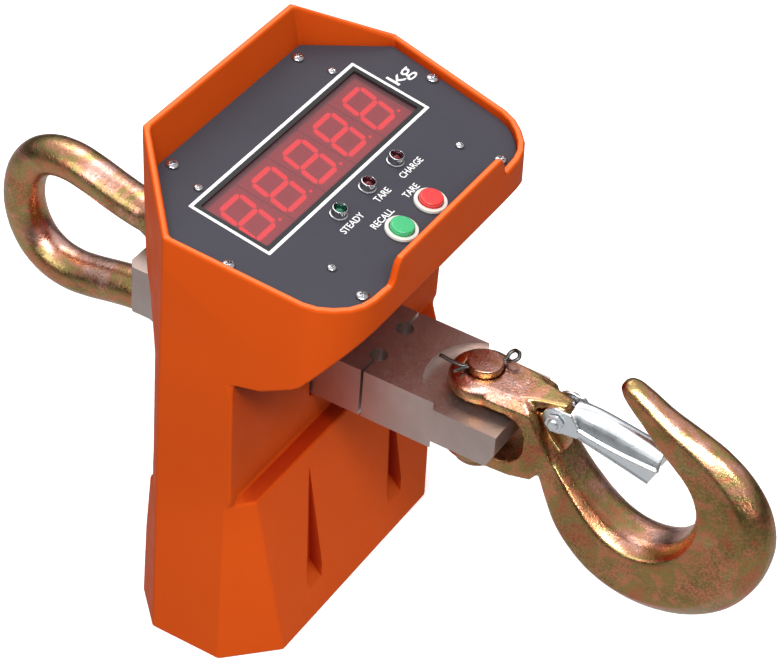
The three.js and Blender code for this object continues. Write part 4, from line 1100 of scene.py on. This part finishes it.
def split_pin(name, cx, z, turn, long, short, rise):
    """Half-round wire folded into an eye, with its two ends bent apart."""
    L = 10.8
    one = [(L + 8.0, 0.0, rise), (L + 6.6, 3.2, rise * 0.86), (L + 3.6, 3.3, rise * 0.5), (L + 1.0, 0.95, rise * 0.12), (L - 3, 0.72, 0), (0, 0.72, 0), (-L, 0.72, 0)] + long
    two = [(L + 8.0, 0.0, rise), (L + 6.6, -3.2, rise * 0.86), (L + 3.6, -3.3, rise * 0.5), (L + 1.0, -0.95, rise * 0.12), (L - 3, -0.72, 0), (0, -0.72, 0), (-L, -0.72, 0)] + short
    ca, sa = math.cos(math.radians(turn)), math.sin(math.radians(turn))
    parts = []
    for k, pts in enumerate((one, two)):
        pts = [np.array(p, float) for p in spline(pts, 7)]
        pts = [np.array((p[0] * ca - p[1] * sa, p[0] * sa + p[1] * ca, p[2])) for p in pts]
        parts.append(tube("w", [p + np.array((cx, 0, z)) for p in pts], 1.12 if k == 0 else 1.1, 14))
    o = join(parts, name)
    paint(smooth(o, 50, False), "cotter_steel")
    return o


# ------------------------------------------------------------------ shackle
AXIS_Z, SPX = 2.0, -128.0
SW = math.radians(-2.6)


def swing(x, y, z):
    a, b = x - SPX, y
    return g(SPX + a * math.cos(SW) - b * math.sin(SW), a * math.sin(SW) + b * math.cos(SW), z)


bow_half = [(-148, 29.5), (-160, 29.6), (-172, 31), (-186, 34), (-202, 38), (-216, 40), (-230, 38), (-242, 30.5), (-250.1, 17.5)]
bow_pts = [(x, 0, AXIS_Z + h) for x, h in bow_half] + [(-253.1, 0, AXIS_Z)] + [(x, 0, AXIS_Z - h + 1.2) for x, h in bow_half[:0:-1]] + [(-148, 0, AXIS_Z - 29.5)]
bow_line = spline(bow_pts, 8)


def bow_taper(t):
    return 1.0 + 0.03 * math.sin(math.pi * t) + 0.06 * min(1.0, max(0.0, (t - 0.45) / 0.25))


parts = [tube("bow", bow_line, 11.65, 36, swing, bow_taper)]
for s in (1, -1):
    zi, zo = AXIS_Z + s * 17.6, AXIS_Z + s * 39.6
    prof = [(0, zi), (18.6, zi)] + [(19.0 + 2.0 * math.sin(a), zi + s * 2.6 * (1 - math.cos(a))) for a in np.linspace(0.2, math.pi / 2, 5)] \
        + [(17.2 + 3.8 * math.cos(a), zo - s * 3.8 * (1 - math.sin(a))) for a in np.linspace(0, math.pi / 2, 7)] + [(0, zo)]
    parts.append(lathe("ear", prof if s > 0 else prof, 72, swing, SPX, 0))
    parts.append(hull("neck", [(x, y, zi + s * 1.0) for x, y in ring_pts(SPX - 6, 0, 16.5, 28)] + [(x, y, zo - s * 2.2) for x, y in ring_pts(SPX - 6, 0, 14.6, 28)]
                      + [(-164, 11.0 * math.cos(a), AXIS_Z + s * 29.8 + 11.0 * math.sin(a)) for a in np.linspace(0, 2 * math.pi, 25)[:-1]], swing))
for p in parts[1:]:
    boolean(p, [prism("c", ring_pts(SPX, 0, 10.9, 64), -80, 90)])
boolean(parts[0], [prism("c", ring_pts(SPX, 0, 10.9, 64), -80, 90)])
bow = join(parts, "bow")
voxels(bow, 1.05, 7)
paint(bow, "yellow_zinc")
done(bow, "shackle_body", "shackle", "yellow_zinc", "shackle_bow")
ET, EB = AXIS_Z + 39.6, AXIS_Z - 39.6
prof = [(0, EB - 12.6), (8.9, EB - 12.6)] + arc(9.3, EB - 11.4, 1.2, -75, 0, 4) + [(10.5, EB - 9)] + [(10.5, ET - 1), (10.5, ET + 0.3), (15.4, ET + 0.3)] \
    + arc(15.2, ET + 1.1, 0.8, -70, 0, 3) + arc(13.4, ET + 3.7, 2.6, 0, 78, 7) + [(9, ET + 6.35), (0, ET + 6.4)]
pin = lathe("pin", prof, 72, g, SPX, 0)
bevel(pin, 0.25, 2, 50)
paint(smooth(pin, 36), "pin_zinc")
done(pin, "pin_shackle", "shackle", "yellow_zinc", "shackle_pin")
w = lathe("w", [(10.8, EB - 2.9), (15.6, EB - 2.9), (16, EB - 2.5), (16, EB - 0.7), (15.6, EB - 0.3), (10.8, EB - 0.3)], 72, g, SPX, 0, closed=True)
paint(smooth(w, 36), "stainless")
done(w, "washer_shackle", "shackle", "stainless", "shackle_washer")
o = split_pin("c", SPX, EB - 8.4, 90, [(-13, 1.0, 0), (-13.8, 3.4, 0.3), (-15.6, 8.6, 0.4)], [(-12.2, -0.9, 0), (-16, -5.6, 0.1), (-17.8, -10.5, 0.2)], 0)
done(o, "cotter_shackle", "shackle", "cotter_steel", "shackle_cotter")

# ------------------------------------------------------------------ hook
HOOK = [((98.5, 14), (93, -18), 14.4), ((109, 3), (100, -21.5), 14.6), ((120, -9.6), (104.3, -33.2), 15.2), ((129, -18.6), (111.6, -49.4), 16),
        ((138.5, -27), (121.6, -61.6), 16.8), ((148.2, -33), (136.8, -73.2), 17.3), ((158.8, -35.6), (155.6, -80), 17.4), ((169.6, -34.4), (176.6, -80.4), 17.3),
        ((179.8, -29.2), (199.4, -73.2), 17), ((187.8, -20), (218.4, -58), 16.6), ((192, -8.8), (231, -36.6), 16), ((192.5, 1.8), (235.8, -12), 15.2),
        ((189, 11.6), (231.5, 9.5), 14), ((183, 19.6), (220, 26.5), 12.8), ((174, 26.4), (204.5, 38.5), 11.4), ((163.6, 33.8), (187.5, 45.6), 10),
        ((154, 43), (170, 51.2), 8.6), ((146, 49.8), (156.6, 58), 7.6), ((140.9, 54.6), (148.2, 62.2), 6.2), ((138.3, 57.9), (143.4, 63.2), 4.2)]
SECTION = [(0.0, 0.0), (0.0, 0.36), (0.02, 0.60), (0.06, 0.80), (0.105, 0.96), (0.16, 1.0), (0.34, 1.0), (0.55, 0.985), (0.70, 0.955), (0.745, 0.925),
           (0.83, 0.76), (0.93, 0.53), (0.985, 0.32), (1.0, 0.0)]
line = spline([(a[0], a[1], b[0], b[1], h) for a, b, h in HOOK], 6)
hook_rings = []
for ax, az, bx, bz, h in line:
    left = [(ax + (bx - ax) * s, k * h, az + (bz - az) * s) for s, k in SECTION]
    right = [(x, -y, z) for x, y, z in left[::-1]][1:-1]
    hook_rings.append(left + right)
tip = hook_rings[-1]
cen = np.mean(np.array(tip), axis=0)
prev = np.mean(np.array(hook_rings[-4]), axis=0)
d = (cen - prev) / np.linalg.norm(cen - prev)
for k, f in ((0.8, 0.75), (1.3, 0.4)):
    hook_rings.append([tuple(cen + (np.array(p) - cen) * f + d * k) for p in tip])
body = loft("hook", hook_rings)

fork_out = [(58, -25), (80, -25), (90, -21.5), (99, -20), (110.5, -3), (99.6, 14.6), (94, 25), (90, 28.4), (86, 29), (58, 29)]
gap_top, gap_low = 18.5, -14.5
fork_gap = [(20, gap_low), (20, gap_top), (80, gap_top)] + [(86, 16.6), (90.2, 13), (92.4, 8), (93, 2), (92.4, -4), (90.2, -9), (86, -12.6), (80, gap_low)]
fork = prism("fork", fork_out, -20, 20, "xz")
ear_prof = [(0, -25), (15.6, -25)] + [(15.6 + 4.0 * math.sin(a), -21 - 4.0 * math.cos(a)) for a in np.linspace(0.3, math.pi / 2, 5)] \
    + [(13.0 + 6.6 * math.cos(a), 22.4 + 6.4 * math.sin(a)) for a in np.linspace(0, math.pi / 2 - 0.15, 9)] + [(12.4, 28.9), (0, 29)]
wide_plan = ring_pts(58, 0, 18.0, 48) + [(84, 15.4), (84, -15.4), (118, 15), (118, -15)]
top_plan = ring_pts(58, 0, 13.6, 48) + [(84, 9.6), (84, -9.6), (118, 9), (118, -9)]
plan_mask = hull("pm", [(x, y, z) for x, y in wide_plan for z in (-22, 23.4)] + [(x, y, z) for x, y in top_plan for z in (-26.5, 29.6)])
boolean(fork, [plan_mask], "INTERSECT")
disc = lathe("disc", ear_prof, 64, g, 58, 0)
nose = hull("n", [(84, s * 10.5, 29.1) for s in (1, -1)] + [(84, s * 13, 22) for s in (1, -1)] + [(94, s * 6.6, 29.9) for s in (1, -1)]
            + [(95, s * 6.6, 24.6) for s in (1, -1)] + [(111, s * 3.2, 30.6) for s in (1, -1)] + [(110.6, s * 3.2, 28.6) for s in (1, -1)])
rib = hull("rib", [(x, y, z) for x, z in ring_pts(107, 22, 6.2, 36) + [(96, 20), (100, -4), (114, 2)] for y in (2.4, -6.4)])


def gap_cut():
    return prism("c", fork_gap, -25, 25, "xz")


def pin_cut(r=10.35):
    return prism("c", ring_pts(58, 0, r, 64), -60, 60)


def bolt_cut(r=3.25):
    return lathe("c", [(0, -30), (r, -30), (r, 30), (0, 30)], 48, g, 107, 0, "y", False, 22)


boolean(fork, [gap_cut(), pin_cut(), bolt_cut()])
boolean(disc, [gap_cut(), pin_cut()])
boolean(nose, [gap_cut(), bolt_cut()])
boolean(rib, [bolt_cut()])
boolean(body, [bolt_cut()])
hook = join([body, fork, disc, nose, rib], "hook")
voxels(hook, 0.85, 4)
paint(hook, "yellow_zinc")
done(hook, "hook_body", "hook", "yellow_zinc", "hook_forging")
prof = [(0, -34), (6, -33.9)] + [(8.5 + 4.7 * math.sin(a), -29.2 - 4.6 * math.cos(a)) for a in np.linspace(0.35, math.pi / 2, 7)] \
    + [(13.2, -26.1)] + arc(12.6, -25.9, 0.6, 0, 80, 3) + [(10.4, -25.3), (10.0, -24.6), (10.0, 32.3)] + arc(9.0, 32.7, 1.0, 0, 80, 5) + [(0, 33.7)]
pin = lathe("pin", prof, 72, g, 58, 0)
bevel(pin, 0.25, 2, 50)
paint(smooth(pin, 36), "pin_zinc")
done(pin, "pin_clevis", "hook", "yellow_zinc", "clevis_pin")
o = split_pin("c", 58, 31.1, 46.7, [(-13, 1.3, 0), (-16.4, 4.6, 0.2), (-21.8, 11.2, 0.4)], [(-13, -1.0, 0), (-15.4, -1.6, 0.1), (-18.2, -2.6, 0.3)], 4.6)
done(o, "cotter_clevis", "hook", "cotter_steel", "clevis_cotter")

# ------------------------------------------------------------------ safety latch
LX, LZ = 107.0, 22.0
thread = []
y = -13.3
while y < -8.4:
    thread += [(2.55, y), (2.9, y + 0.28)]
    y += 0.56
prof = [(0, -13.4), (2.2, -13.4)] + thread + [(2.9, -8.3), (2.9, 9.4), (5.0, 9.4), (5.2, 9.6), (5.2, 11.2)] + [(4.3 + 0.9 * math.cos(a), 11.5 + 1.5 * math.sin(a)) for a in np.linspace(0.15, 1.4, 6)] + [(2.4, 13.15), (0, 13.2)]
b = lathe("b", prof, 48, g, LX, 0, "y", False, LZ)
paint(smooth(b, 34), "bright_zinc")
done(b, "bolt_latch", "hook", "bright_zinc", "latch_bolt")
nut = prism("n", ring_pts(LX, LZ, 5.3, 6, 0.3), -12.2, -9.5, "xz")
boolean(nut, [lathe("c", [(0, -20), (3.1, -20), (3.1, 0), (0, 0)], 40, g, LX, 0, "y", False, LZ)])
bevel(nut, 0.35, 2, 40)
paint(smooth(nut), "bright_zinc")
done(nut, "nut_latch", "hook", "bright_zinc", "latch_nut")
LWID, LT = 8.9, 1.7
lug = [(106, 29.6), (115, 30.0), (121, 22.3), (143, 19.2), (165.6, 18.6), (168.3, 18), (163.4, 7.2), (122.4, 16.5), (112, 15)]
sides = []
for s in (1, -1):
    y0, y1 = (LWID - LT, LWID) if s > 0 else (-LWID, -LWID + LT)
    sides.append(prism("e", ring_pts(LX, LZ, 8.3, 64), y0, y1, "xz"))
    sides.append(prism("l", lug, y0, y1, "xz"))
    fold = spline([(120.6, s * 8.75, 22.0), (130, s * 8.8, 20.4), (143, s * 8.8, 18.9), (156, s * 8.8, 18.3), (166.6, s * 8.8, 18.0)], 6)
    sides.append(tube("f", fold, 0.95, 16))
    low = spline([(121.5, s * 8.7, 17.2), (143, s * 8.7, 12.6), (163.4, s * 8.7, 7.9)], 8)
    sides.append(tube("f", low, 0.8, 16))
ARCH = [(114.4, 28.2, 31.4), (121, 22.3, 32.2), (130, 20.8, 32.1), (143, 19.2, 30.4), (156, 18.8, 28.2), (168.3, 18.2, 26)]
arch_rings = []
for x, f, c in spline(ARCH, 6):
    pts = []
    for t, order in ((0.0, 1), (LT, -1)):
        row = []
        for k in range(-10, 11):
            v = k / 10
            q = abs(v)
            yy = (LWID - t - 0.35) * (1 - (1 - q) ** 1.0) * (1 if v > 0 else -1)
            zz = c + 1.9 - t - (c + 1.9 - f) * (0.7 * q ** 1.9 + 0.3 * q ** 5.0)
            row.append((x, yy, zz - (t * 0.25 if q > 0.9 else 0)))
        pts += row[::order]
    arch_rings.append(pts)
sides.append(loft("arch", arch_rings))
for s in sides:
    boolean(s, [bolt_cut(3.25)]) if s.name[0] == "e" or s.name[0] == "l" else None
plate = join(sides, "plate")
voxels(plate, 0.42, 5)
paint(plate, "bright_zinc")
done(plate, "latch_plate", "latch", "bright_zinc", "safety_latch")
coil = [(LX + 26, 3.6, LZ + 1.6), (LX + 14, 3.6, LZ + 3.2)]
for k in range(67):
    a = math.pi / 2 - 0.25 + (k / 66) * 2 * math.pi * 2.75
    coil.append((LX + 4.4 * math.cos(a), 3.5 + 2.9 * k / 66, LZ + 4.4 * math.sin(a)))
a = math.pi / 2 - 0.25 + 2 * math.pi * 2.75
coil.append((LX + 4.4 * math.cos(a) - math.sin(a) * 6, 6.4, LZ + 4.4 * math.sin(a) + math.cos(a) * 6))
spring = tube("spring", spline(coil, 3), 0.58, 10)
paint(smooth(spring, 50, False), "bolt_steel")
spring.name = spring.data.name = "spring_latch"
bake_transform(spring)
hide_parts("latch_spring")
